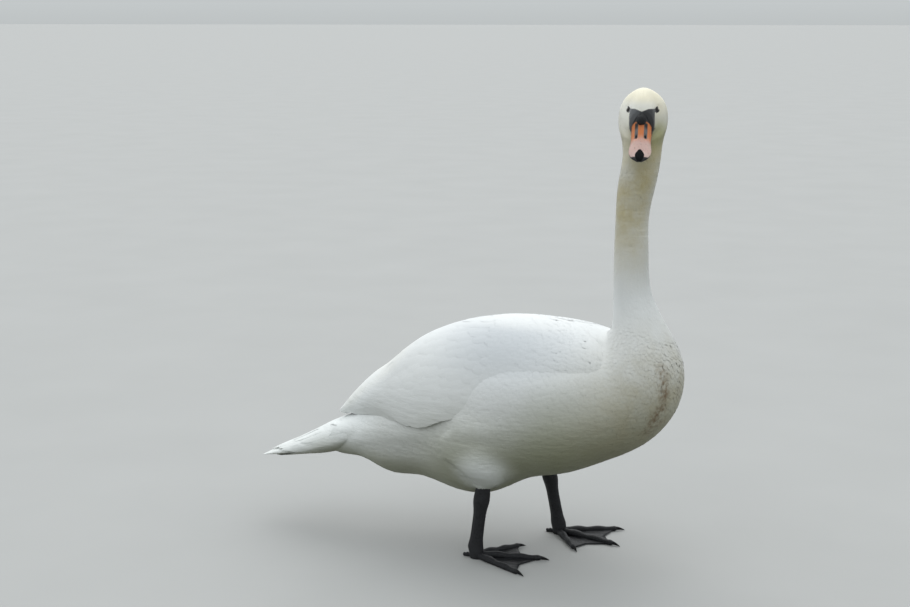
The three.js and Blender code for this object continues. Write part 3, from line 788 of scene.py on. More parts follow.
class Nodes:
    """Node tree of one material."""

    def __init__(self, name: str) -> None:
        """Starts an empty tree with its Principled shader."""
        self.material = bpy.data.materials.new(name)
        self.material.use_nodes = True
        self.tree = self.material.node_tree
        self.tree.nodes.clear()
        self.shader = self.tree.nodes.new("ShaderNodeBsdfPrincipled")
        output = self.tree.nodes.new("ShaderNodeOutputMaterial")
        self.tree.links.new(self.shader.outputs["BSDF"], output.inputs["Surface"])
        self.coordinates = self.tree.nodes.new("ShaderNodeTexCoord").outputs["Object"]

    def in_head(self, place: "Place") -> tuple[Val, Val, Val]:
        """Place in the head's own frame, in millimetres: along the bill, to her left, and up."""
        origin = place.metres(place.head_origin)
        p, s, q = (self.along(axis, origin) * PER_METRE for axis in place.head_axes.T)
        return p, s, q

    def larger(self, first: object, second: object) -> Val:
        """The larger of two values."""
        return self.math("MAXIMUM", first, second)

    def smaller(self, first: object, second: object) -> Val:
        """The smaller of two values."""
        return self.math("MINIMUM", first, second)

    def unsigned(self, value: Val) -> Val:
        """A value without its sign."""
        return self.math("ABSOLUTE", value)

    def add(self, kind: str, settings: dict | None = None, **inputs: object) -> bpy.types.Node:
        """A node of any type: settings first, then the values or links of its sockets.

        Args:
            kind: the node's type.
            settings: its properties by name.
            **inputs: values or links by socket name, with _ for a space, or in0, in1 … by number.

        Returns:
            The node.
        """
        node = self.tree.nodes.new(kind)
        for key, value in (settings or {}).items():
            setattr(node, key, value)
        for key, value in inputs.items():
            numbered = key.startswith("in") and key[2:].isdigit()
            self.feed(node.inputs[int(key[2:])] if numbered else node.inputs[key.replace("_", " ")], value)
        return node

    def feed(self, socket: bpy.types.NodeSocket, value: object) -> None:
        """Links a wrapped or bare socket to an input, or sets its value."""
        if isinstance(value, Val):
            value = value.socket
        if isinstance(value, bpy.types.NodeSocket):
            self.tree.links.new(value, socket)
        else:
            socket.default_value = value

    def math(self, operation: str, *values: object) -> Val:
        """Math node of one operation."""
        inputs = {f"in{i}": value for i, value in enumerate(values)}
        node = self.add("ShaderNodeMath", {"operation": operation}, **inputs)
        return Val(self, node.outputs[0])

    def step(self, value: Val, low: float, high: float) -> Val:
        """Smooth step from 0 at low to 1 at high; low may be the larger."""
        node = self.add(
            "ShaderNodeMapRange", {"interpolation_type": "SMOOTHSTEP"},
            Value=value, From_Min=low, From_Max=high, To_Min=0.0, To_Max=1.0,
        )
        return Val(self, node.outputs["Result"])

    def scaled(self, factors: tuple[float, float, float]) -> bpy.types.NodeSocket:
        """Object coordinates times three factors."""
        return self.vector_math("MULTIPLY", self.coordinates, factors).outputs[0]

    def vector_math(self, operation: str, first: object, second: Sequence[float]) -> bpy.types.Node:
        """Vector Math node of one operation on a vector and three numbers."""
        return self.add("ShaderNodeVectorMath", {"operation": operation}, in0=first, in1=tuple(second))

    def noise(
        self, scale: float, detail: float = 3.0, stretch: tuple[float, float, float] = (1, 1, 1)
    ) -> Val:
        """Noise over Object coordinates, 0 to 1 about 0.5."""
        node = self.add("ShaderNodeTexNoise", None, Vector=self.scaled(stretch), Scale=scale, Detail=detail)
        return Val(self, node.outputs[0])

    def along(self, direction: Sequence[float], origin: Sequence[float]) -> Val:
        """Distance in metres from an origin along a direction of the part's frame."""
        shifted = self.vector_math("SUBTRACT", self.coordinates, origin)
        return Val(self, self.vector_math("DOT_PRODUCT", shifted.outputs[0], direction).outputs["Value"])

    def away(self, centre: Sequence[float], stretch: tuple[float, float, float] = (1, 1, 1)) -> Val:
        """Distance in metres from a point, with each axis stretched."""
        place = tuple(c * s for c, s in zip(centre, stretch))
        return Val(self, self.vector_math("DISTANCE", self.scaled(stretch), place).outputs["Value"])

    def mix(self, share: object, first: object, second: object) -> Val:
        """Colour mix from first, at share 0, to second."""
        node = self.add("ShaderNodeMix", {"data_type": "RGBA"}, in0=share, in6=first, in7=second)
        return Val(self, node.outputs[2])

    def bump(self, height: Val, strength: float, distance: float) -> None:
        """Bump from a height in units of distance, on the shader's normal."""
        node = self.add("ShaderNodeBump", None, Strength=strength, Distance=distance, Height=height)
        self.tree.links.new(node.outputs[0], self.shader.inputs["Normal"])

    def finish(self, **inputs: object) -> bpy.types.Material:
        """Feeds the shader's sockets and returns the material."""
        for key, value in inputs.items():
            self.feed(self.shader.inputs[key.replace("_", " ")], value)
        return self.material


Colour = tuple[float, float, float, float]


@dataclass(frozen=True)
class Spot:
    """Soft round spot of a marking, painted light or painted shade, in millimetres: its middle, its reach,
    and its height by width.
    """

    middle: tuple[float, float, float]
    reach: float
    tall: float = 1.0


# spots of painted light on the thighs
THIGH_SPOTS = (Spot((-40, -108, 166), 76), Spot((20, 118, 172), 84))
# spot of painted shade on her right side below the back
SIDE_SHADE_SPOT = Spot((-10, -70, 400), 190, 0.55)
STAIN_SPOTS = (
    Spot((268, -60, 358), 24, 1.6),
    Spot((273, -60, 331), 22, 1.2),
    Spot((258, -60, 278), 32, 1.3),
    Spot((267, -60, 302), 22),
    Spot((307, -20, 334), 24, 1.8),
)
WASH_MIDDLE = (272, -50, 275)
# these two in the head's own frame
# partly green staining, partly painted shade on the cheek of her left side
JAW_SPOT = Spot((36, 29, -31), 38)
# painted highlight on the brow
BROW_SPOT = Spot((8, 0, 6), 30)


@dataclass(frozen=True)
class FaceEdge:
    """Edge of the bare face, in millimetres of the head's own frame; the brow's height is the swan's."""

    brow: float = 811.6
    brow_rise: float = 4.4
    brow_half: float = 11.0
    gape: float = -9.5
    gape_fall: float = 0.36
    gape_start: float = 6.0
    side: float = 21.8
    back: float = 5.5
    bill_root: float = 46.0
    corner: tuple[float, float, float] = (12.0, 22.3, 3.4)
    corner_reach: float = math.sqrt(50)
    corner_blur: tuple[float, float] = (8.6, 7.2)


FACE = FaceEdge()


@dataclass(frozen=True)
class Ground:
    """What the masks are worked out from: the place in the swan's frame, in metres, and two noises."""

    x: Val
    y: Val
    z: Val
    blotch: Val
    fine: Val


@dataclass(frozen=True)
class PlumageFinish:
    """White plumage: cream crown, tinted fore-neck, breast stains, bare black face; painted light and olive
    shade.
    """

    name: str
    place: Place
    bare_face: bool = False
    barbs: bool = True
    white: Colour = (0.81, 0.82, 0.815, 1)
    # painted light: a brighter cream-white for the top of the head
    head_light: Colour = (0.985, 0.955, 0.86, 1)
    # painted highlight on the brow
    brow_light: Colour = (0.97, 0.985, 1, 1)
    # painted light on the rear body, the tail and the thighs
    pale: Colour = (0.93, 0.95, 0.96, 1)
    # painted shade on the side below the back
    side_shade: Colour = (0.62, 0.645, 0.67, 1)
    cream: Colour = (1.0, 0.92, 0.70, 1)
    straw: Colour = (0.575, 0.468, 0.185, 1)
    # partly green staining, partly painted shade on one cheek
    moss_and_shade: Colour = (0.36, 0.37, 0.15, 1)
    dust: Colour = (0.46, 0.42, 0.29, 1)
    stain: Colour = (0.20, 0.13, 0.07, 1)
    # painted olive shade of the lower body
    shade: Colour = (0.262, 0.268, 0.118, 1)
    black: Colour = (0.022, 0.022, 0.024, 1)
    # painted sheen: a lighter grey for one side of the lores
    sheen_grey: Colour = (0.115, 0.118, 0.125, 1)
    barb_turns: float = 698.0  # radians of the barbs' wave to a decimetre of vane
    barb_slant: float = 0.7

    def spot(self, nodes: Nodes, spot: Spot, on_head: bool = False) -> Val:
        """Mask of a spot: 1 in its middle and 0 at its reach."""
        middle = np.array(spot.middle)
        centre = self.place.metres(self.place.from_head(middle) if on_head else middle)
        reach = spot.reach * MM
        return nodes.step(nodes.away(centre, (1, 1, 1 / spot.tall)), reach, reach * 0.1)

    def head_layers(self, nodes: Nodes, at: Ground) -> tuple[tuple[Val, Colour], ...]:
        """Masks and colours of head and neck; the head looks to the right, so its right side is the rear one.

        Args:
            nodes: tree that the masks are added to.
            at: the place and the noises.

        Returns:
            The layers, the lowest one first.
        """
        right = nodes.step(at.x, 0.222, 0.185)
        # painted light: the head above the throat is painted brighter, starting lower on its right side
        head_light = nodes.step(at.z + 0.09 * right, 0.795, 0.82) * 0.9
        tint = nodes.step(at.z, 0.845, 0.815) * (1.0 - right) * (0.15 + 0.32 * at.blotch)
        tint = (tint + nodes.step(at.z, 0.80, 0.76) * right * 0.16) * nodes.step(at.z, 0.68, 0.74)
        crown = nodes.step(at.z, 0.817, 0.838) * (0.55 + 0.45 * at.blotch)
        # painted highlight: a bluish white spot on the brow
        brow = self.spot(nodes, BROW_SPOT, True) * nodes.step(at.z, 0.832, 0.818)
        neck = nodes.step(at.z, 0.48, 0.66) * nodes.step(at.z, 0.80, 0.75) * nodes.step(at.y, 0.03, -0.03)
        neck = neck * (1.0 - right * nodes.step(at.z, 0.66, 0.72) * 0.6)
        neck = neck * (0.58 + 0.5 * nodes.step(at.blotch + 0.3 * at.fine, 0.35, 0.9)) * 0.76
        # partly green staining and partly painted shade on the cheek of her left side
        jaw = self.spot(nodes, JAW_SPOT, True) * (0.5 + 0.5 * at.blotch) * 0.85
        return (
            (head_light, self.head_light), (tint, self.straw), (crown, self.cream), (brow, self.brow_light),
            (neck, self.straw), (jaw, self.moss_and_shade),
        )

    def body_layers(self, nodes: Nodes, at: Ground) -> tuple[tuple[Val, Colour], ...]:
        """Masks and colours of trunk, wings, thighs and tail.

        Args:
            nodes: tree that the masks are added to.
            at: the place and the noises.

        Returns:
            The layers, the lowest one first.
        """
        # painted light: thighs, rear body and tail get a paler white, and the thighs keep none of the painted
        # shade below
        thigh = nodes.larger(*(self.spot(nodes, spot) for spot in THIGH_SPOTS))
        rear = nodes.larger(nodes.step(at.x, -0.24, -0.32), nodes.step(thigh, 0.0, 0.5))
        # painted shade: her right side below the top of the back is greyed, where the light from above falls
        # off
        side_shade = self.spot(nodes, SIDE_SHADE_SPOT) * nodes.step(at.z, 0.436, 0.418) * 0.85
        edge = nodes.step(at.x, -0.19, -0.25) * nodes.step(at.z - at.x * 0.85, 0.518, 0.548)
        edge = edge * nodes.step(at.z, 0.22, 0.25) * at.blotch * 0.25
        # painted shade: the lower body turns olive towards the bottom, and the vent likewise
        belly = nodes.step(at.z + 0.04 * at.blotch - 0.06 * nodes.step(at.x, -0.02, 0.10), 0.35, 0.17)
        belly = belly * (0.75 + 0.25 * at.blotch) * (1.0 - thigh)
        belly = belly * (0.25 + 0.75 * nodes.step(at.x, -0.22, -0.06))
        vent = nodes.step(at.x, -0.10, -0.20) * nodes.step(at.x, -0.43, -0.37)
        vent = vent * nodes.step(at.z + 0.02 * at.blotch, 0.205, 0.15) * 0.45
        wash = nodes.step(nodes.away(self.place.metres(np.array(WASH_MIDDLE))), 0.23, 0.03)
        wash = wash * (0.5 + 0.5 * nodes.step(at.blotch + 0.4 * at.fine, 0.42, 0.95)) * 0.9
        stains = sum(self.spot(nodes, spot) for spot in STAIN_SPOTS)
        stains = nodes.smaller(stains, 1.0) * nodes.step(at.blotch * 0.6 + at.fine * 0.5, 0.40, 0.72) * 0.93
        return (
            (rear, self.pale), (side_shade, self.side_shade), (edge, self.cream),
            (nodes.smaller(belly + vent, 1.0) * 0.86, self.shade), (wash, self.dust), (stains, self.stain),
        )

    def colour(self, nodes: Nodes) -> Val:
        """The markings and painted light and shade that skin and coat share: over the white, each layer's
        colour by its mask.
        """
        place = (nodes.along(axis, self.place.shift) for axis in np.eye(3))
        at = Ground(*place, nodes.noise(28, 4), nodes.noise(160, 3))
        colour = self.white
        for mask, laid in self.head_layers(nodes, at) + self.body_layers(nodes, at):
            colour = nodes.mix(mask, colour, laid)
        return colour

    def face(self, nodes: Nodes) -> Val:
        """Mask of the bare face: from eye to bill, above a line down to the gape, below the brow's point."""
        p, s, q = nodes.in_head(self.place)
        rough = (nodes.noise(900, 2) - 0.5) * 1.6
        side = nodes.unsigned(s)
        z = nodes.along((0, 0, 1), self.place.shift) * PER_METRE
        rise = FACE.brow_rise * nodes.smaller(side / FACE.brow_half, 1.0)
        brow = nodes.step(z - rise + rough, FACE.brow + 1.0, FACE.brow - 0.6)
        fall = (p - FACE.gape_start) * FACE.gape_fall
        gape = nodes.step(q + fall + rough, FACE.gape - 1.0, FACE.gape + 1.0)
        flat = nodes.step(side + rough, FACE.side + 0.8, FACE.side - 0.4)
        flat = flat * nodes.step(p + rough, FACE.back - 1.0, FACE.back + 1.0)
        x, y, up = FACE.corner
        corners = self.place.metres(self.place.from_head(np.array([[x, -y, up], [x, y, up]])))
        corner = nodes.smaller(*(nodes.away(middle) for middle in corners)) * PER_METRE
        return brow * nodes.larger(gape * flat, nodes.step(corner + rough, *FACE.corner_blur))

    def barb_height(self, nodes: Nodes) -> Val:
        """Relief of a vane: slanting barbs as a sine over its own map, and a shaft along its middle."""
        uv = nodes.add("ShaderNodeUVMap", {"uv_map": "vane"}).outputs[0]
        split = nodes.add("ShaderNodeSeparateXYZ", None, Vector=uv)
        along, across = Val(nodes, split.outputs[0]), nodes.unsigned(Val(nodes, split.outputs[1]))
        slant = nodes.math("SINE", (along - across * self.barb_slant) * self.barb_turns)
        return 0.10 * slant + 0.25 * nodes.step(across, 0.006, 0.002)

    def material(self) -> bpy.types.Material:
        """The finish as a material."""
        nodes = Nodes(self.name)
        colour = self.colour(nodes)
        grain = nodes.noise(420, 3)
        z = nodes.along((0, 0, 1), self.place.shift)
        wavy = nodes.larger(nodes.step(z, 0.36, 0.24), nodes.step(z, 0.50, 0.60) * nodes.step(z, 0.80, 0.74))
        height = grain + nodes.noise(55, 3, (0.4, 0.4, 2.2)) * wavy * 7.0
        if self.barbs:
            height = height + self.barb_height(nodes)
        roughness = 0.62 + 0.2 * grain
        if self.bare_face:
            mask = self.face(nodes)
            scales = nodes.add(
                "ShaderNodeTexVoronoi", {"feature": "F1"}, Vector=nodes.coordinates, Scale=900.0
            )
            height = height + mask * Val(nodes, scales.outputs[0]) * 1.5
            _, s, _ = nodes.in_head(self.place)
            # painted sheen: the bare face is lighter grey on her right side, standing in for a reflection
            sheen_side = nodes.step(s + (nodes.noise(260, 2) - 0.5) * 14.0, 6.0, -12.0)
            colour = nodes.mix(mask, colour, nodes.mix(sheen_side, self.black, self.sheen_grey))
            roughness = roughness - mask * 0.27
        nodes.bump(height, 0.35, 0.0006)
        return nodes.finish(Base_Color=colour, Roughness=roughness, Sheen_Weight=0.15, Sheen_Roughness=0.5)


@dataclass(frozen=True)
class BillFinish:
    """Upper bill: orange that pales to pink towards the tip, grey nasal hollows, black edge and root."""

    place: Place
    orange: Colour = (0.70, 0.20, 0.045, 1)
    rust: Colour = (0.55, 0.17, 0.07, 1)
    pink: Colour = (0.68, 0.46, 0.41, 1)
    blush: Colour = (0.80, 0.62, 0.60, 1)
    fleck: Colour = (0.09, 0.03, 0.025, 1)
    grey: Colour = (0.16, 0.15, 0.15, 1)
    black: Colour = (0.012, 0.012, 0.014, 1)
    hollow_side: float = 7.8
    nostril: tuple[float, float] = (63.0, 7.4)

    def material(self) -> bpy.types.Material:
        """The finish as a material."""
        nodes = Nodes("bill")
        p, s, q = nodes.in_head(self.place)
        side = nodes.unsigned(s)
        cloud, fine = nodes.noise(160, 3), nodes.noise(1400, 3)
        wobble = (cloud - 0.5) * 3.0
        colour = nodes.mix(nodes.step(p + wobble * 2.6, 60.0, 79.0), self.orange, self.pink)
        colour = nodes.mix(nodes.step(fine, 0.45, 0.75) * 0.35, colour, self.rust)
        colour = nodes.mix(nodes.step(p + wobble, 88.0, 104.0) * 0.35, colour, self.blush)
        hollow = nodes.step(nodes.unsigned(side - self.hollow_side) + wobble * 0.15, 3.3, 2.3)
        hollow = hollow * nodes.step(p + wobble * 0.5, 69.0, 66.5) * nodes.step(p, 40.0, 43.0)
        nostril = nodes.unsigned(side - self.nostril[1]) / 1.9 + nodes.unsigned(p - self.nostril[0]) / 4.2
        inside = nodes.step(p + wobble, 46.0, 53.0) * (1.0 - nodes.step(nostril, 1.25, 0.75))
        colour = nodes.mix(hollow, colour, nodes.mix(inside, self.black, self.grey))
        flecks = nodes.step(nodes.noise(430, 2), 0.64, 0.70) * nodes.step(p, 70.0, 78.0)
        colour = nodes.mix(flecks * nodes.step(p, 100.0, 94.0) * 0.8, colour, self.fleck)
        root = nodes.step(p + wobble * 0.3, 40.4, 38.6)
        strip = nodes.step(side + wobble * 0.2, 16.0, 17.2) * nodes.step(p, 54.0, 47.0)
        rim = nodes.step(q - nodes.larger((p - 88.0) * 0.05, 0.0), -17.6, -18.5)
        tip = nodes.step(p + side * 0.15 + wobble * 0.3, 104.5, 106.5)
        dark = nodes.larger(nodes.larger(nodes.larger(root, strip), rim), tip)
        colour = nodes.mix(dark, colour, self.black)
        nodes.bump(0.5 * fine + cloud, 0.3, 0.0005)
        return nodes.finish(Base_Color=colour, Roughness=0.34 + 0.2 * fine, Subsurface_Weight=0.05)


@dataclass(frozen=True)
class LeatherFinish:
    """Bare scaly skin: round cells with dark joints between, paler where it is worn."""

    name: str
    dark: Colour
    pale: Colour
    cells: float
    rough: float
    depth: float

    def material(self) -> bpy.types.Material:
        """The finish as a material."""
        nodes = Nodes(self.name)
        kind = {"feature": "DISTANCE_TO_EDGE"}
        cells = nodes.add("ShaderNodeTexVoronoi", kind, Vector=nodes.coordinates, Scale=self.cells)
        edge = Val(nodes, cells.outputs[0])
        plate = nodes.step(edge, 0.02, 0.22)
        cloud = nodes.noise(60, 4)
        colour = nodes.mix(plate * (0.25 + 0.75 * cloud), self.dark, self.pale)
        nodes.bump(plate + 0.4 * cloud, 0.6, self.depth)
        return nodes.finish(Base_Color=colour, Roughness=self.rough + 0.15 * cloud, Specular_IOR_Level=0.3)


@dataclass(frozen=True)
class HornFinish:
    """Smooth horn or wet eye: near black with a faint grain along it."""

    name: str
    colour: Colour
    second: Colour
    rough: float
    coat: float = 0.0

    def material(self) -> bpy.types.Material:
        """The finish as a material."""
        nodes = Nodes(self.name)
        grain = nodes.noise(700, 3, (1, 1, 0.3))
        colour = nodes.mix(nodes.step(grain, 0.35, 0.75), self.colour, self.second)
        nodes.bump(grain, 0.15, 0.0003)
        rough = self.rough + 0.08 * grain
        coat = {"Coat_Weight": self.coat, "Coat_Roughness": 0.03}
        return nodes.finish(Base_Color=colour, Roughness=rough, Specular_IOR_Level=0.08, **coat)


# ---------------------------------------------------------------- feathers


BAKE_PATCH = 0.003  # size of a vane's patch on the unwrap
UNWRAP_SIZE, UNWRAP_EDGE = 0.95, 0.02
PAD_SHARE = 0.3  # how much of its root's pad a vane keeps all along
RING_POINTS = 65
LOOSE_SHARE = 0.05  # how many of the vanes stand off

Row = tuple[Array, float, Array, Array]


def eased(first: float, change: float, low: float, high: float) -> Callable[[Array], Array]:
    """A size along a form: first up to low, then changed by a smooth step that ends at high."""
    return lambda p: first + change * smoothstep(p, low, high)


def steady(size: float) -> Callable[[Array], Array]:
    """A size that is the same all along a form."""
    return lambda p: np.full_like(p, size)


@dataclass(frozen=True)
class Vane:
    """Outline of a feather: shares of its length, its width at each, and camber, the rise of its middle.

    The looks bend the shading normals: true_look is the share of the vane's own bent face against the
    form's, and the other two lean them outwards at the sides and at the tip.
    """

    shares: tuple[float, ...] = (0.0, 0.3, 0.62, 0.84, 0.95, 1.0)
    widths: tuple[float, ...] = (0.0, 0.85, 1.0, 0.84, 0.5, 0.0)
    columns: int = 3
    camber: float = 0.03
    thick: float = 0.4
    true_look: float = 0.7
    round_look: float = 0.06
    tip_look: float = 0.10

    def lay(
        self, form: Surface, p: Array, q: Array, length: Array, width: Array, heading: Array,
        sink: float, lift: Array, tilt: Array, window: tuple[float, float, float, float],
    ) -> MeshData:
        """Closed thin vanes over a surface.

        From its root each vane walks over the surface along the lie. At each share of its length it steps
        sideways to its columns. Height over the surface goes from sink at the root to lift at the tip with
        the square root of the share, plus the camber's parabola and the tilt across. The underside is a
        second, flatter parabola below it.

        Args:
            form: the surface they lie on.
            p: roots along it.
            q: roots across it.
            length: of each vane.
            width: of each vane.
            heading: of each, from the lie, in radians.
            sink: height of the root, in millimetres, below nought.
            lift: height of each tip; the form's pads, or at least a share of the root's pad, come on top.
            tilt: rise of each vane's left edge over its right one, in millimetres.
            window: lowest p, highest p, lowest q and highest q of the unwrap.

        Returns:
            The vanes in one mesh, with the maps "vane" (decimetres along, across) and "OFBake".
        """
        count, side = len(p), np.linspace(-1, 1, self.columns)
        pad = PAD_SHARE * form.swelling(form.at(p, q))[:, None]
        side = np.concatenate([side, side[-2:0:-1]])
        below = np.arange(len(side)) >= self.columns
        here_p, here_q, rows, before = p.copy(), q.copy(), [], 0.0
        for share, wide in zip(self.shares, self.widths):
            if share > before:
                here_p, here_q = form.moved(here_p, here_q, (share - before) * length, heading)
            before = share
            steps, under = (side, below) if wide > 0 else (np.zeros(1), np.zeros(1, bool))
            wide_p, wide_q, turn = (
                np.repeat(item[:, None], len(steps), 1) for item in (here_p, here_q, heading + np.pi / 2)
            )
            wide_p, wide_q = form.moved(wide_p, wide_q, (width / 2 * wide)[:, None] * steps, turn)
            point, _, _, normal = form.slopes(wide_p, wide_q)
            height = sink + (lift - sink)[:, None] * share**0.5
            arch = np.where(under, -self.thick, self.camber * width[:, None] * wide)
            height = height + arch * (1 - steps**2) + tilt[:, None] * steps * wide / 2
            height = height + np.maximum(form.swelling(point), pad)
            rows.append((point + normal * height[..., None], share, steps * wide, normal))
        points = np.concatenate([row[0] for row in rows], 1)
        local = np.concatenate([np.stack([np.full(len(s), share), s], -1) for _, share, s, _ in rows])
        normals = self.shading(rows, points, local)
        faces, outside = self.faces()
        shift = (np.arange(count) * points.shape[1])[:, None, None]
        low_p, high_p, low_q, high_q = window
        root = np.stack([(p - low_p) / (high_p - low_p), (q - low_q) / (high_q - low_q)], -1)
        root = root * UNWRAP_SIZE + UNWRAP_EDGE
        patch = BAKE_PATCH * (local - [0.5, 0.0]) * [1.0, 0.5]
        return MeshData(
            points.reshape(-1, 3),
            [(face + shift).reshape(-1, face.shape[1]) for face in faces],
            {
                "OFBake": (root[:, None] + patch).reshape(-1, 2),
                "vane": (local * np.stack([length, width / 2], -1)[:, None] / 100).reshape(-1, 2),
            },
            [
                (normals[:, face] * sign[:, None, None]).reshape(-1, face.shape[1], 3)
                for face, sign in zip(faces, outside)
            ],
        )

    def shading(self, rows: list[Row], points: Array, local: Array) -> Array:
        """Shading normals: the form's mixed with the vane's own, and leaned outwards at sides and tip.

        Args:
            rows: for each share of the length its points, the share, places across and the form's normals.
            points: those of all rows.
            local: share of the length and place across of each point of a vane.

        Returns:
            One normal for each point.
        """
        count, top = len(points), self.columns
        tops = np.stack([np.broadcast_to(row[0][:, :top], (count, top, 3)) for row in rows], 1)
        bent = np.cross(np.gradient(tops, axis=1), np.gradient(tops, axis=2))
        bent[:, 0], bent[:, -1] = bent[:, 1, top // 2, None], bent[:, -2, top // 2, None]
        bent /= np.linalg.norm(bent, axis=-1, keepdims=True) + TINY
        shades = []
        for number, (_, _, steps, facing) in enumerate(rows):
            own = bent[:, number] * np.sign((bent[:, number] * facing[:, :1]).sum(-1, keepdims=True))
            own = own[:, : len(steps)] if len(steps) < top else np.concatenate([own, own[:, -2:0:-1]], 1)
            shades.append(facing + self.true_look * (own - facing))
        normals = np.concatenate(shades, 1)
        tangent = points[:, -1] - points[:, 0]
        tangent /= np.linalg.norm(tangent, axis=1, keepdims=True)
        across_way = np.cross(normals[:, 0], tangent)[:, None]
        normals = normals + self.round_look * local[None, :, 1:] * across_way
        normals += self.tip_look * local[None, :, :1] ** 3 * tangent[:, None]
        return normals / np.linalg.norm(normals, axis=-1, keepdims=True)

    def faces(self) -> tuple[list[Array], list[Array]]:
        """Quads of a closed tube, over the top and back below, with a fan of triangles at root and tip.

        Returns:
            The faces of one vane by size, and for each face 1 on the top side and −1 below.
        """
        k, rows = 2 * self.columns - 2, len(self.shares) - 2
        last = 1 + rows * k
        a, b = np.arange(k), (np.arange(k) + 1) % k
        root = np.stack([np.zeros(k, int), 1 + a, 1 + b], -1)
        tip = np.stack([np.full(k, last), last - k + b, last - k + a], -1)
        ring = np.where(a < self.columns - 1, 1.0, -1.0)
        quads = grid_faces(rows, k, True)[:, ::-1] + 1
        return [quads, np.vstack([root, tip])], [np.tile(ring, rows - 1), np.tile(ring, 2)]


@dataclass
class Coat:
    """Rows of vanes over a stretch of a surface."""

    form: Surface
    start: float
    stop: float
    row_step: Callable[[Array], Array]
    column_step: float
    length: Callable[[Array], Array]
    slim: float = 0.5
    low_q: float = 0.0
    high_q: float = 2 * math.pi
    sink: float = -2.2
    lift: float = 0.6
    tilt: float = 0.3
    jitter: float = 0.35
    wander: float = 0.12
    ruffle: float = 0.0  # how far one vane in twenty stands off
    vane: Vane = field(default_factory=Vane)
    seed: int = 1

    def roots(self, rng: np.random.Generator) -> tuple[Array, Array]:
        """Staggered rows of roots: rows a step apart, and in each row as many roots as its length holds."""
        places, p = [], self.start
        while p < self.stop:
            places.append(p)
            p += float(self.row_step(np.array(p)))
        turns = np.linspace(self.low_q, self.high_q, RING_POINTS)
        all_p, all_q = [], []
        for number, place in enumerate(places):
            ring = self.form.at(np.full(RING_POINTS, place), turns)
            reach = np.concatenate([[0], np.cumsum(np.linalg.norm(np.diff(ring, axis=0), axis=1))])
            count = max(int(reach[-1] / self.column_step), 3)
            stray = rng.uniform(-0.5, 0.5, count) * self.jitter
            steps = (np.arange(count) + 0.5 * (number % 2) + stray) / count
            all_q.append(np.interp(np.clip(steps, 0, 1) * reach[-1], reach, turns))
            stray = rng.uniform(-0.5, 0.5, count) * self.jitter
            all_p.append(place + stray * float(self.row_step(np.array(place))))
        return np.concatenate(all_p), np.concatenate(all_q)

    def grow(self, keep: Callable[[Array, Array], Array] | None = None) -> MeshData:
        """Lays the coat.

        Args:
            keep: tells from root points and tip points which vanes stay; all do without it.

        Returns:
            The vanes.
        """
        rng = np.random.default_rng(self.seed)
        p, q = self.roots(rng)
        length = self.length(p) * rng.uniform(0.86, 1.14, len(p))
        heading = rng.normal(0, self.wander, len(p))
        if keep is not None:
            tip = self.form.moved(p, q, length, heading)
            stays = keep(self.form.at(p, q), self.form.at(*tip))
            p, q, length, heading = p[stays], q[stays], length[stays], heading[stays]
        width = length * self.slim * rng.uniform(0.9, 1.1, len(p))
        lift = self.lift * rng.uniform(0.6, 1.4, len(p))
        tilt = self.tilt * rng.normal(0, 1, len(p))
        loose = self.ruffle * (rng.random(len(p)) < LOOSE_SHARE) * rng.uniform(0.4, 1.0, len(p))
        lift, tilt = lift + loose, tilt + loose * rng.choice([-1, 1], len(p))
        window = (self.start - 5, self.stop + 5, self.low_q - 0.1, self.high_q + 0.1)
        return self.vane.lay(self.form, p, q, length, width, heading, self.sink, lift, tilt, window)


HAIR = Vane((0, 0.35, 0.8, 1), (0, 1, 0.85, 0), camber=0.04, thick=0.15, true_look=0.5, round_look=0.1)
COVERT = Vane(camber=0.018)
BROAD = Vane(
    (0, 0.12, 0.3, 0.5, 0.7, 0.85, 0.94, 1), (0, 0.6, 0.85, 1, 1, 0.85, 0.6, 0),
    columns=5, camber=0.02, true_look=0.4, round_look=0.03,
)
POINTED = Vane(
    (0, 0.1, 0.3, 0.5, 0.7, 0.84, 0.93, 0.98, 1), (0, 0.7, 0.95, 1, 0.95, 0.75, 0.5, 0.25, 0),
    columns=5, camber=0.03,
)
SIDES = ("right", "left")

Piece = tuple[str, MeshData, tuple[str, ...]]


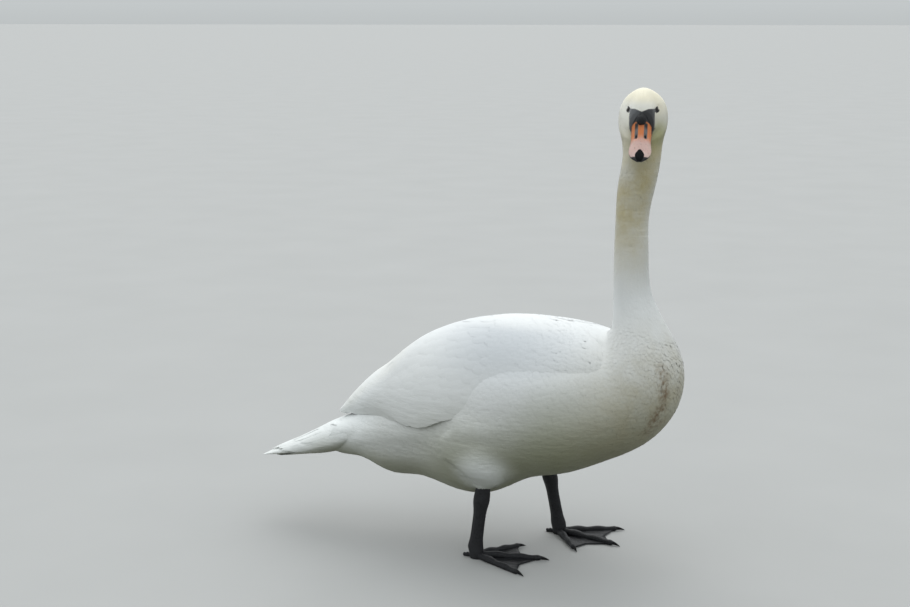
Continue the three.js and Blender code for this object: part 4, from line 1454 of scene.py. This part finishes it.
@dataclass
class Plumage:
    """Skin and feathers of the whole swan; the depths tell how far the skin lies inside the forms."""

    place: Place
    skin_depth: float = 2.2
    tail_skin_depth: float = 2.0
    thigh_skin_depth: float = 1.4
    wing_thick: float = 12.0
    wing_join: float = 1.8  # how far the wings' top edges are pushed past the middle
    wing_end: float = 4.0  # how far a wing's skin stays off the form's two ends
    head_end: float = 3.5
    lid_rise: float = 4.4  # where the lids' middle lies, from the eye's
    lid_reaches: tuple[float, float, float] = (6.2, 5.2, 5.4)  # kept clear of roots, tips and middles

    def __post_init__(self) -> None:
        """Keeps the forms that skin and feathers share, and makes the finishes."""
        self.long = LongSkin()
        self.tail = Sections(np.array(TAIL_ROWS, float))
        self.wings = [WingForm(side) for side in Side]
        self.thighs = [ThighForm(leg) for leg in LEGS]
        self.coat_finish = PlumageFinish("plumage", self.place).material()
        self.skin_finish = PlumageFinish("skin", self.place, bare_face=True, barbs=False).material()

    def ring_grid(self, form: Surface, rows: Array, around: int, swell: float | Array) -> Array:
        """Rings of a form that closes round, swollen by a number or one for each row, and by its pads."""
        angles = np.linspace(0, 2 * np.pi, around, endpoint=False)[None, :]
        swell = np.broadcast_to(swell, rows.shape)[:, None]
        return form.at(rows[:, None], angles, swell + form.swelling(form.at(rows[:, None], angles)))

    def wing_shell(self, wing: WingForm, swell: float) -> Array:
        """Closed rings of a wing: its outside from top to low edge, and back along an inner arc.

        The top edge is pushed past the middle, so that the two wings join.

        Args:
            wing: the form.
            swell: millimetres outwards.

        Returns:
            The rings.
        """
        x = np.linspace(wing.low_p + self.wing_end, wing.high_p - self.wing_end, 90)[:, None]
        out = np.linspace(0, np.pi / 2, 24)[None, :]
        outer = wing.at(x, out, swell)
        inner = wing.at(x, out[:, ::-1], swell - self.wing_thick)
        shell = np.concatenate([outer, inner], 1)
        join = self.wing_join * np.cos(np.concatenate([out, out[:, ::-1]], 1))
        shell[..., 1] -= wing.side.value * join
        return shell

    def build_skin(self) -> None:
        """One closed skin, inside the feathers by their depth: less on the neck, and least on the face."""
        root, nape, top = self.long.neck_root, self.long.nape, self.long.high_p
        rows = np.concatenate([np.linspace(2, nape, 200), np.linspace(nape, top - self.head_end, 90)[1:]])
        inset = self.skin_depth - 0.8 * smoothstep(rows, root - 20, root + 60)
        inset = inset - 0.3 * smoothstep(rows, nape - 40, nape + 5)
        inset = inset - 0.6 * smoothstep(rows, top - 28, top - 12)
        tail_rows, thigh_rows = np.linspace(0, self.tail.high_p, 40), np.linspace(4, 92, 24)
        parts = [
            self.ring_grid(self.long, rows, 160, -inset),
            self.ring_grid(self.tail, tail_rows, 48, -self.tail_skin_depth),
            *(self.wing_shell(wing, -self.skin_depth) for wing in self.wings),
            *(self.ring_grid(thigh, thigh_rows, 40, -self.thigh_skin_depth) for thigh in self.thighs),
        ]
        pieces = [
            make_object(f"part{i}", tube(part), self.place, self.skin_finish) for i, part in enumerate(parts)
        ]
        skin = united("skin", pieces)
        skin.data.polygons.foreach_set("use_smooth", np.ones(len(skin.data.polygons), bool))
        limbs = [f"{limb}_{side}" for limb in ("wing", "thigh") for side in SIDES]
        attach(skin, "root")
        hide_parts("trunk", "neck_lower", "neck_upper", "head", "tail", *limbs)
        LOG.info("skin: %d faces", len(skin.data.polygons))

    def bare_face(self, points: Array) -> Array:
        """Whether points belong to the bare face or the bill's root, by the head's own frame."""
        p, s, q = np.moveaxis(self.place.to_head(points), -1, 0)
        side, (corner_p, corner_s, corner_q) = np.abs(s), FACE.corner
        below = points[..., 2] < FACE.brow + FACE.brow_rise * np.minimum(side / FACE.brow_half, 1)
        corner = (p - corner_p) ** 2 + (side - corner_s) ** 2 + (q - corner_q) ** 2 < FACE.corner_reach**2
        above = q > FACE.gape - (p - FACE.gape_start) * FACE.gape_fall
        return below & (above & (p > FACE.back) & (side < FACE.side) | corner) | (p > FACE.bill_root)

    def uncovered(self, roots: Array, tips: Array) -> Array:
        """Which trunk vanes aren't under a wing or deep in the tail, by their roots and tips."""
        hidden = (roots[:, 0] < -300) & (tail_depth(roots) > 7)
        for wing in self.wings:
            hidden |= wing.covers(tips, 14) & wing.covers(roots, 4) & (roots[:, 0] < 128)
        return ~hidden

    def feathered(self, roots: Array, tips: Array) -> Array:
        """Which head vanes clear the bare face and an oval about each eye, by their roots and tips."""
        clear = ~self.bare_face(roots)
        for side in Side:
            ahead, _, outwards = eye_axes(side)
            middle = eye_middle(side) + self.lid_rise * outwards
            for ends, reach in zip((roots, tips, (roots + tips) / 2), self.lid_reaches):
                off = self.place.to_head(ends) - middle
                clear &= np.linalg.norm(off - 0.25 * (off @ ahead)[:, None] * ahead, axis=1) > reach
        return clear

    def long_coats(self) -> list[Piece]:
        """Coats of trunk, neck and head, whose rows and vanes get finer on the way up."""
        long, root, nape, top = self.long, self.long.neck_root, self.long.nape, self.long.high_p
        pieces = []
        for name, start, stop, column, seed in (
            ("rump", 6, 250, 7.0, 11),
            ("trunk", 250, root - 215, 7.0, 14),
            ("breast", root - 215, root + 8, 6.2, 15),
        ):
            coat = Coat(
                long, start, stop, eased(5.6, -2.6, root - 230, root - 60), column,
                eased(27, -12, root - 230, root), lift=0.3, tilt=0.1, jitter=0.6, ruffle=0.45, seed=seed,
            )
            pieces.append((f"coat_{name}", coat.grow(self.uncovered), ("trunk",)))
        neck = Coat(
            long, root + 2, nape + 4, eased(4.0, -1.0, root, nape - 100), 3.0, eased(19, -8, root, nape - 60),
            slim=0.42, sink=-1.5, lift=0.3, tilt=0.12, jitter=0.6, vane=HAIR, seed=12,
        )
        head = Coat(
            long, nape, top - 1, eased(2.1, -0.8, nape, top - 20), 1.75, eased(9.5, -3.5, nape, nape + 60),
            slim=0.36, sink=-1.3, lift=0.2, tilt=0.06, jitter=0.6, vane=HAIR, seed=13,
        )
        pieces.append(("coat_neck", neck.grow(), ("neck_lower", "neck_upper")))
        pieces.append(("coat_head", head.grow(self.feathered), ("head",)))
        return pieces

    def wing_coat(self, wing: WingForm) -> MeshData:
        """A wing's feathers from the front: small coverts, greater coverts, tertials and primaries."""
        end, low_edge, tilt = wing.low_p, math.pi / 2, 0.9 * wing.side.value
        small = Coat(
            wing, 0, 203, eased(8.0, -4, 40, 150), 7.0, eased(38, -20, 0, 130),
            high_q=low_edge, sink=-1.3, lift=0.3, tilt=0.05, jitter=0.6, vane=COVERT, seed=21,
        )
        greater = Coat(
            wing, -170, 60, steady(22.0), 18, eased(92, -32, -170, 0), slim=0.36,
            high_q=low_edge, lift=0.25, tilt=0.0, jitter=0.3, wander=0.05, vane=BROAD, seed=22,
        )
        long = Coat(
            wing, -250, -120, steady(26.0), 17, lambda p: 60 + (p - end) * 0.62, slim=0.24,
            high_q=low_edge, sink=-4, lift=0.4, tilt=tilt, jitter=0.2, wander=0.02, vane=BROAD, seed=23,
        )
        ends = Coat(
            wing, -330, -236, steady(22.0), 15, lambda p: (p - end) * 0.98 + 2, slim=0.3,
            high_q=low_edge, sink=-4, lift=0.2, tilt=tilt, jitter=0.2, wander=0.02, vane=BROAD, seed=24,
        )
        return small.grow().plus(greater.grow()).plus(long.grow()).plus(ends.grow())

    def tail_coat(self) -> MeshData:
        """Coverts round the tail's root over long pointed vanes, fanned in two sheets above and one below."""
        mesh = Coat(
            self.tail, 26, 122, steady(7.0), 8.0, eased(34, 10, 70, 110),
            slim=0.36, sink=-2.2, lift=0.35, tilt=0.15, jitter=0.5, seed=31,
        ).grow()
        rng = np.random.default_rng(32)
        window = (0, self.tail.high_p, -2, 5.5)
        for middle, mirror, lift, count, reach in (
            (0.0, 1.0, 0.7, 11, 196), (0.0, 1.0, 1.0, 8, 142), (math.pi, -1.0, 0.5, 12, 180),
        ):
            across = np.linspace(-1, 1, count)
            length = reach - 66 * np.abs(across) ** 1.4 + rng.uniform(-5, 5, count)
            sheet = POINTED.lay(
                self.tail, np.full(count, 62.0), middle - mirror * across * 1.3, length,
                np.full(count, 27.0), rng.normal(0, 0.012, count), -3.2, np.full(count, lift),
                -mirror * np.sign(across) * 2.0, window,
            )
            mesh = mesh.plus(sheet)
        return mesh

    def thigh_coat(self, thigh: ThighForm) -> MeshData:
        """Short vanes down a thigh, to the bare skin of the leg."""
        return Coat(
            thigh, 5, 50, eased(2.4, 1.6, 0, 40), 3.0, eased(9, 9, -4, 40),
            slim=0.42, sink=-1.6, lift=0.25, tilt=0.1, jitter=0.6, wander=0.15, vane=HAIR, seed=40,
        ).grow()

    def build(self) -> None:
        """Makes the skin and every coat piece."""
        self.build_skin()
        pieces = self.long_coats()
        for side, wing in zip(SIDES, self.wings):
            pieces.append((f"coat_wing_{side}", self.wing_coat(wing), (f"wing_{side}",)))
        pieces.append(("coat_tail", self.tail_coat(), ("tail",)))
        for side, thigh in zip(SIDES, self.thighs):
            pieces.append((f"coat_thigh_{side}", self.thigh_coat(thigh), (f"thigh_{side}",)))
        for name, data, nodes in pieces:
            slot = Slot.TAIL if name == "coat_tail" else Slot.PLUMAGE
            add_piece(name, data, self.place, self.coat_finish, slot, *nodes)


# ---------------------------------------------------------------- bill and eyes


# x | ridge | edge | half width | squareness
BILL_ROWS = (
    (27, 10, -20, 18.6, 1.9),
    (36, 9.5, -20.6, 18.8, 1.8),
    (47, 3.5, -21, 17.8, 1.75),
    (62, -3, -21, 16.7, 1.8),
    (78, -8, -20.2, 17.2, 1.9),
    (91, -11, -19.4, 18.1, 2),
    (101, -13, -19.6, 15.6, 2),
    (107.5, -16, -20.8, 9.6, 2),
    (110.5, -19, -21.8, 3.6, 2),
)
# x | depth | half width
MANDIBLE_ROWS = (
    (24, 6.5, 15.5),
    (40, 6.3, 16),
    (62, 5.2, 14.6),
    (84, 4.2, 15.2),
    (96, 3.4, 14.6),
    (104, 2.2, 8.5),
)


@dataclass
class Head:
    """Bill, nail, knob, eyes and lids in the head's own frame: x along the bill, y to her left, z up."""

    place: Place
    bill_start: float = 24.0
    tip_start: float = 104.0
    bill_end: float = 110.5
    hollow_side: float = 7.8
    hollow_deep: float = 2.25
    nostril: tuple[float, float] = (63.0, 7.3)
    nostril_deep: float = 3.2
    nail_middle: float = 98.0
    nail_half: float = 13.2
    nail_wide: float = 8.8
    nail_rise: float = 0.9
    knob_middle: tuple[float, float, float] = (39.4, 0, 7.9)
    knob_radii: tuple[float, float, float] = (10, 8.6, 9)
    lid_points: int = 9

    def __post_init__(self) -> None:
        """Fits the bill's curves."""
        rows, low = np.array(BILL_ROWS, float), np.array(MANDIBLE_ROWS, float)
        self.bill = Spline(rows[:, 0], rows[:, 1:])
        self.mandible = Spline(low[:, 0], low[:, 1:])

    def roof(self, x: Array, angle: Array) -> Array:
        """Upper bill's outside: a superellipse arch over the edge, with ridge, nasal hollows and lip."""
        ridge, edge, half, point = np.moveaxis(self.bill(x), -1, 0)
        y = half * power(np.cos(angle), 2 / point)
        z = edge + 1 + (ridge - edge - 1) * np.abs(np.sin(angle)) ** (2 / point)
        side = np.abs(y)
        groove = np.exp(-(((side - self.hollow_side) / 2.7) ** 2)) * between(x, 36, 46, 64, 74)
        culmen = np.exp(-((side / 3.4) ** 2)) * between(x, 50, 60, 84, 100)
        lip = np.exp(-(((z - edge - 1.5) / 1.6) ** 2)) * smoothstep(x, 50, 70)
        dip = np.exp(-(((x - self.nostril[0]) / 4.5) ** 2 + ((side - self.nostril[1]) / 1.5) ** 2))
        relief = 0.8 * culmen - self.hollow_deep * groove - self.nostril_deep * dip
        return np.stack(np.broadcast_arrays(x, y + np.sign(y) * 0.7 * lip, z + relief), -1)

    def upper(self) -> MeshData:
        """Upper bill: its roof as rings, closed by a slightly hollow palate."""
        tip = np.linspace(self.tip_start + 0.5, self.bill_end, 16)
        x = np.concatenate([np.linspace(self.bill_start, self.tip_start, 110), tip])[:, None]
        arch = self.roof(x, np.linspace(0, np.pi, 61)[None, :])
        share = np.linspace(-0.94, 0.94, 13)[None, :]
        edge, half = self.bill(x[:, 0])[:, 1:2], self.bill(x[:, 0])[:, 2:3]
        palate = np.stack(np.broadcast_arrays(x, half * share, edge + 1.2 * (1 - share**2)), -1)
        return tube(np.concatenate([arch, palate], 1))

    def nail(self) -> MeshData:
        """Nail: a raised oval plate on the bill's tip, hooked down over its end."""
        reach = self.nail_half * np.sin(np.linspace(-np.pi / 2, 1.22, 36))
        x = self.nail_middle + reach
        wide = self.nail_wide * np.sqrt(np.clip(1 - (reach / self.nail_half) ** 2, 0.0004, 1))
        wide = wide * (0.12 + 0.88 * smoothstep(x, 85, 103.5))
        ridge, edge, half, point = np.moveaxis(self.bill(x), -1, 0)
        wide = np.minimum(wide, half * 0.999)
        share = np.linspace(-1, 1, 17)
        y = wide[:, None] * share
        ratio = np.clip(np.abs(y) / half[:, None], 0, 1)
        rise = (1 - ratio ** point[:, None]) ** (1 / point[:, None])
        z = (edge + 1)[:, None] + (ridge - edge - 1)[:, None] * rise
        bulge = self.nail_rise * (1 - np.abs(share) ** 4) * smoothstep(x, 84, 95)[:, None]
        top = np.stack([np.broadcast_to(x[:, None], y.shape), y, z + bulge - 0.15], -1)
        low = np.maximum(z - 2.5, edge[:, None] + 0.4)
        under = np.stack([np.broadcast_to(x[:, None], y.shape), y * 0.96, low], -1)[:, ::-1]
        return tube(np.concatenate([top, under], 1))

    def lower(self) -> MeshData:
        """Lower bill: a shallow round-bottomed tray under the upper one."""
        x = np.linspace(self.bill_start, self.tip_start, 60)[:, None]
        depth, half = np.moveaxis(self.mandible(x), -1, 0)
        top = self.bill(x)[..., 1] - 0.3
        angle = np.linspace(0, np.pi, 21)[None, :]
        below = np.stack(np.broadcast_arrays(x, half * np.cos(angle), top - 0.8 - depth * np.sin(angle)), -1)
        share = np.linspace(-0.95, 0.95, 7)[None, :]
        above = np.stack(np.broadcast_arrays(x, half * share, top), -1)
        return tube(np.concatenate([below, above], 1))

    def ball(self, centre: Sequence[float], radii: Sequence[float], rows: int, around: int) -> Array:
        """Rings of an ellipsoid from one pole to the other along x."""
        t = np.linspace(0.02, np.pi - 0.02, rows)[:, None]
        a = np.linspace(0, 2 * np.pi, around, endpoint=False)[None, :]
        unit = np.stack(np.broadcast_arrays(-np.cos(t), np.sin(t) * np.cos(a), np.sin(t) * np.sin(a)), -1)
        return unit * np.array(radii) + np.array(centre)

    def knob(self) -> MeshData:
        """Knob over the bill's root: an ellipsoid with a few soft lobes and a crease down its middle."""
        rings = self.ball(self.knob_middle, self.knob_radii, 40, 64)
        way = (rings - self.knob_middle) / self.knob_radii
        lobes = 0.35 * np.sin(6.2 * way[..., 1] + 0.4) * np.cos(5.4 * way[..., 2])
        lobes = lobes - 0.4 * np.exp(-((way[..., 1] / 0.25) ** 2))
        return tube(rings + way * lobes[..., None])

    def lids(self, side: Side) -> MeshData:
        """Lids: a closed rim on the eyeball, open to a point before and behind.

        Args:
            side: of the head.

        Returns:
            The rim, thick towards the eye and thin where it runs out over the skin.
        """
        turn = np.linspace(0, 2 * np.pi, 96, endpoint=False)[:, None]
        share = np.linspace(0, 1, self.lid_points)
        gape = 35 + 8 * np.cos(turn) ** 2 + 9 * np.cos(turn) ** 10 + 2 * smoothstep(np.sin(turn), 0.0, -1.0)
        wide = np.radians(14.0 + 9.0 * np.clip(np.cos(turn), 0, 1) ** 4)
        over = 0.35 + 0.85 * np.sin(np.pi * np.clip(share * 1.25, 0, 1)) * (1 - 0.3 * share)
        angle = np.radians(gape) + wide * np.concatenate([share, share[::-1]])
        radius = EYE_RADIUS + np.concatenate([over, np.full(self.lid_points, -1.2)])[None, :]
        ahead, up, out = eye_axes(side)
        flat = np.cos(turn)[..., None] * ahead + np.sin(turn)[..., None] * up
        way = np.cos(angle)[..., None] * out + np.sin(angle)[..., None] * flat
        rings = eye_middle(side) + radius[..., None] * way
        rows, columns = rings.shape[:2]
        faces = grid_faces(rows + 1, columns, True) % (rows * columns)
        return MeshData(rings.reshape(-1, 3), [faces])

    def put(self, name: str, data: MeshData, finish: bpy.types.Material, slot: Slot, *nodes: str) -> None:
        """Adds a piece given in the head's own frame."""
        data = MeshData(self.place.from_head(data.points), data.faces)
        add_piece(name, data, self.place, finish, slot, *nodes)

    def build(self) -> None:
        """Makes every piece of the head but its skin and feathers."""
        skin = LeatherFinish(
            "bare_black", (0.006, 0.006, 0.007, 1), (0.018, 0.018, 0.02, 1),
            cells=700, rough=0.45, depth=0.0003,
        )
        black = skin.material()
        horn = HornFinish("nail", (0.004, 0.004, 0.005, 1), (0.012, 0.012, 0.014, 1), 0.28).material()
        wet = HornFinish("eye", (0.010, 0.005, 0.003, 1), (0.018, 0.009, 0.005, 1), 0.06, 0.6).material()
        orange = BillFinish(self.place).material()
        self.put("bill_upper_fine", self.upper(), orange, Slot.ORANGE, "bill_upper")
        self.put("bill_nail_fine", self.nail(), horn, Slot.BLACK, "bill_nail")
        self.put("bill_lower_fine", self.lower(), black, Slot.BLACK, "bill_lower")
        self.put("bill_knob_fine", self.knob(), black, Slot.BLACK, "bill_knob")
        for side in Side:
            name = side.name.lower()
            eye = tube(self.ball(eye_middle(side), [EYE_RADIUS] * 3, 32, 48))
            self.put(f"eye_{name}_round", eye, wet, Slot.EYE, f"eye_{name}")
            self.put(f"lids_{name}", self.lids(side), black, Slot.BLACK)


# ---------------------------------------------------------------- legs


# height | half length | half width
SHANK_ROWS = (
    (160, 11, 9),
    (137.7, 13, 10),
    (123, 14.6, 11),
    (108, 15.2, 11.5),
    (92, 12.8, 9.8),
    (72, 11.8, 8.8),
    (48, 12, 8.6),
    (32, 13, 9.2),
    (22.3, 14.4, 10.4),
    (14, 14, 12),
    (7, 13.2, 12.6),
    (2, 12.4, 12.4),
    (0, 11.6, 11.6),
)
# spread | length | half thickness at root and at end
TOES = {"inner": (40, 98, 6.8, 4.6), "middle": (0, 122, 7.4, 4.8), "outer": (-42, 116, 6.8, 4.6)}
HIND_TOE = (165, 24, 4.6, 3.4)


@dataclass
class Leg:
    """Bare shank with its scutes, webbed foot and claws."""

    place: Place
    leg: LegPlace
    shank_top: float = 160.0
    knob_height: float = 110.0
    shank_scute: float = 6.2
    toe_scute: float = 4.2
    claw_long: float = 16.0
    claw_thick: float = 3.4
    web_reach: float = 0.93  # how much of a toe's length the web goes along

    def __post_init__(self) -> None:
        """Fits the shank's table."""
        rows = np.array(SHANK_ROWS, float)[::-1]
        self.shank_curve = Spline(rows[:, 0], rows[:, 1:])
        self.name = self.leg.side.name.lower()

    def shank(self) -> MeshData:
        """Shank: level ellipses down the line from hock to ankle, with low scutes stepped over its front."""
        z = np.linspace(self.shank_top, 0, 190)[:, None]
        a = np.linspace(0, 2 * np.pi, 48, endpoint=False)[None, :]
        along, across = np.moveaxis(self.shank_curve(z), -1, 0)
        high, low = self.leg.hock_height, self.leg.ankle_height
        share = np.clip((high - z) / (high - low), -0.05, 1)
        (hock_x, hock_y), (heel_x, heel_y) = self.leg.hock, self.leg.heel
        front = smoothstep(np.cos(a), 0.2, 0.8) * between(z, 10, 26, 126, 140)
        scute = 0.45 * front * (np.mod(z / self.shank_scute, 1) - 0.4)
        knob = 1.2 * np.exp(-(((z - self.knob_height) / 9) ** 2)) * np.abs(np.sin(a)) ** 4
        behind = np.abs(np.mod(a, 2 * np.pi) - np.pi)
        groove = -0.9 * np.exp(-(((behind - 0.75) / 0.3) ** 2)) * between(z, 24, 40, 90, 104)
        ankle = smoothstep(z, 24, 8)
        x = hock_x + (heel_x - hock_x) * share + 2 * ankle + (along + scute + groove) * np.cos(a)
        y = hock_y + (heel_y - hock_y) * share + (across + knob + groove) * np.sin(a)
        return tube(np.stack(np.broadcast_arrays(x, y, z), -1))

    def to_swan(self, points: Array) -> Array:
        """Foot frame, X along the middle toe, to the swan's frame."""
        angle = math.radians(-self.leg.side.value * self.leg.toe_in)
        out = turned(points, np.full(points.shape[:-1], angle), np.zeros(points.shape[:-1]))
        return out + np.array([*self.leg.heel, 0.0])

    def toe_axes(self, spread: float) -> tuple[Array, Array]:
        """Directions along a toe and across it, level, in the foot frame."""
        angle = math.radians(-spread * self.leg.side.value)
        c, s = math.cos(angle), math.sin(angle)
        return np.array([c, s, 0]), np.array([-s, c, 0])

    def toe(self, spread: float, length: float, root: float, end: float) -> MeshData:
        """Toe: upright rings along its way, swollen at its joints, with scutes on top and a flat sole."""
        way, cross = self.toe_axes(spread)
        share = np.linspace(0, 1, 90)[:, None]
        a = np.linspace(0, 2 * np.pi, 28, endpoint=False)[None, :]
        thick = (root + (end - root) * share) * (1 + 0.09 * np.cos(6 * np.pi * share))
        blunt = np.sqrt(np.clip(1 - smoothstep(share, 0.93, 1.0) * 0.75, 0, 1))
        scute = 0.35 * smoothstep(np.sin(a), 0.1, 0.7) * (np.mod(share * length / self.toe_scute, 1) - 0.4)
        side = (thick * blunt + scute) * np.cos(a)
        high = np.maximum(thick * 0.93 + (thick * blunt + scute) * np.sin(a), 0.0)
        points = way * (length * share)[..., None] + cross * side[..., None] + UP * high[..., None]
        return tube(self.to_swan(points))

    def claw(self, spread: float, length: float, end: float) -> MeshData:
        """Claw: a cone that curves down to the floor from a toe's end."""
        way, cross = self.toe_axes(spread)
        share = np.linspace(0, 1, 24)[:, None]
        a = np.linspace(0, 2 * np.pi, 20, endpoint=False)[None, :]
        thick = self.claw_thick * (1 - 0.86 * share**1.5)
        middle = end * 0.93 + 0.6 - (end * 0.93 - 0.6) * share**1.6
        high = middle + np.minimum(thick, middle - 0.2) * np.sin(a)
        along = way * (length - 3 + self.claw_long * share)[..., None]
        points = along + cross * (thick * 0.85 * np.cos(a))[..., None]
        return tube(self.to_swan(points + UP * high[..., None]))

    def web(self, first: tuple, second: tuple) -> MeshData:
        """Web between two toes: a slack, wrinkled sheet between their lines, its free edge hollow."""
        u = np.linspace(0, 1, 40)[:, None]
        v = np.linspace(0, 1, 30)[None, :]
        way_a, way_b = (self.toe_axes(toe[0])[0][:2] for toe in (first, second))
        long_a, long_b = (toe[1] * self.web_reach for toe in (first, second))
        straight = way_a * (long_a * u * (1 - v))[..., None] + way_b * (long_b * u * v)[..., None]
        flat = straight * (1 - 0.8 * v * (1 - v) * u**2)[..., None]
        folds = 0.55 * np.sin(2 * np.pi * (3.5 * v + 0.6 * u)) * np.sin(np.pi * v) * smoothstep(u, 0.15, 0.6)
        rise = 3.4 * (np.abs(2 * v - 1) ** 2.2) * (1 - 0.35 * u) + 0.6
        top = np.concatenate([flat, (1.7 + folds + rise)[..., None]], -1)
        low = np.concatenate([flat, (0.2 + 0.6 * rise)[..., None]], -1)
        return tube(self.to_swan(np.concatenate([top, low[:, ::-1]], 1)))

    def build(self, leg: bpy.types.Material, claw: bpy.types.Material) -> None:
        """Makes the shank, the foot and the claws."""
        foot = self.toe(*HIND_TOE)
        for toe in TOES.values():
            foot = foot.plus(self.toe(*toe))
        foot = foot.plus(self.web(TOES["inner"], TOES["middle"]))
        foot = foot.plus(self.web(TOES["middle"], TOES["outer"]))
        pieces = [
            (f"shank_{self.name}", self.shank(), leg, Slot.LEG),
            (f"foot_{self.name}", foot, leg, Slot.LEG),
        ]
        for title, (spread, length, _, end) in TOES.items():
            pieces.append((f"claw_{title}_{self.name}", self.claw(spread, length, end), claw, Slot.BLACK))
        for node, data, finish, slot in pieces:
            add_piece(f"{node}_fine", data, self.place, finish, slot, node)


# ---------------------------------------------------------------- stage


@dataclass(frozen=True)
class Studio:
    """Pale floor, soft light and the camera."""

    camera_place: tuple[float, float, float] = (1.00504, -2.51942, 0.963)
    yaw: float = 22.0
    dip: float = 10.70
    lens: float = 59.34
    floor_half: float = 300.0
    floor_dark: Colour = (0.40, 0.40, 0.39, 1)
    floor_light: Colour = (0.44, 0.44, 0.43, 1)
    lamp_place: tuple[float, float, float] = (-1.1, 2.4, 2.9)
    lamp_target: tuple[float, float, float] = (0, 0, 0.3)
    lamp_spread: float = 60.0
    lamp_power: float = 1.12
    sky_low: Colour = (0.085, 0.093, 0.055, 1)
    sky_high: Colour = (0.925, 0.975, 1.0, 1)
    sky_edge: tuple[float, float] = (-0.2, 0.08)  # heights between which the ground turns to sky
    sky_power: tuple[float, float] = (0.76, 1.18)  # at the horizon and overhead

    def build(self) -> None:
        """Sets the floor, the lamp, the sky and the camera."""
        self.floor()
        self.lamp()
        self.sky()
        self.camera()
        bpy.context.scene.view_settings.view_transform = "Standard"

    def floor(self) -> None:
        """A wide level square that gives no light of its own back to the swan."""
        grey = Nodes("floor")
        colour = grey.mix(grey.noise(3, 3), self.floor_dark, self.floor_light)
        finish = grey.finish(Base_Color=colour, Roughness=0.9)
        mesh = bpy.data.meshes.new("floor")
        half = self.floor_half
        corners = [(-half, -half, 0), (half, -half, 0), (half, half, 0), (-half, half, 0)]
        mesh.from_pydata(corners, [], [(0, 1, 2, 3)])
        mesh.materials.append(finish)
        floor = bpy.data.objects.new("floor", mesh)
        bpy.context.scene.collection.objects.link(floor)
        floor.visible_diffuse = False

    def lamp(self) -> None:
        """One wide soft lamp from above and behind, turned to its target."""
        lamp = bpy.data.lights.new("key", "SUN")
        lamp.angle, lamp.energy = math.radians(self.lamp_spread), self.lamp_power
        item = bpy.data.objects.new("key", lamp)
        item.location = self.lamp_place
        x, y, z = np.array(self.lamp_target) - np.array(self.lamp_place)
        item.rotation_euler = (math.atan2(math.hypot(x, y), -z), 0, math.atan2(y, x) - math.pi / 2)
        bpy.context.scene.collection.objects.link(item)

    def sky(self) -> None:
        """Sky by height: green-grey below the horizon, pale above it, and stronger towards the zenith."""
        world = bpy.data.worlds.new("sky")
        world.use_nodes = True
        tree = world.node_tree
        way = tree.nodes.new("ShaderNodeTexCoord").outputs["Generated"]
        split = tree.nodes.new("ShaderNodeSeparateXYZ")
        rise, zenith = (tree.nodes.new("ShaderNodeMapRange") for _ in range(2))
        shade = tree.nodes.new("ShaderNodeMix")
        shade.data_type = "RGBA"
        shade.inputs[6].default_value, shade.inputs[7].default_value = self.sky_low, self.sky_high
        rise.inputs["From Min"].default_value, rise.inputs["From Max"].default_value = self.sky_edge
        zenith.inputs["To Min"].default_value, zenith.inputs["To Max"].default_value = self.sky_power
        links = (
            (way, split.inputs[0]),
            (split.outputs["Z"], rise.inputs["Value"]),
            (rise.outputs["Result"], shade.inputs[0]),
            (shade.outputs[2], tree.nodes["Background"].inputs["Color"]),
            (split.outputs["Z"], zenith.inputs["Value"]),
            (zenith.outputs["Result"], tree.nodes["Background"].inputs["Strength"]),
        )
        for output, socket in links:
            tree.links.new(output, socket)
        bpy.context.scene.world = world

    def camera(self) -> None:
        """The camera, looking down a little."""
        view = bpy.data.cameras.new("camera")
        view.lens, view.sensor_width, view.clip_start, view.clip_end = self.lens, 36, 0.05, 1000
        camera = bpy.data.objects.new("camera", view)
        camera.location = self.camera_place
        camera.rotation_euler = (math.radians(90 - self.dip), 0, math.radians(self.yaw))
        bpy.context.scene.collection.objects.link(camera)
        bpy.context.scene.camera = camera


def main() -> None:
    """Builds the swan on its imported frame."""
    logging.basicConfig(level=logging.INFO, format="%(message)s")
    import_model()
    place = Place()
    LOG.info("shift %s", place.shift)
    Studio().build()
    Plumage(place).build()
    Head(place).build()
    skin = LeatherFinish(
        "leg_skin", (0.005, 0.005, 0.006, 1), (0.036, 0.037, 0.041, 1), cells=420, rough=0.5, depth=0.0005
    ).material()
    horn = HornFinish("claw", (0.006, 0.006, 0.007, 1), (0.025, 0.024, 0.024, 1), 0.35).material()
    for leg in LEGS:
        Leg(place, leg).build(skin, horn)


if __name__ == "__main__":
    main()
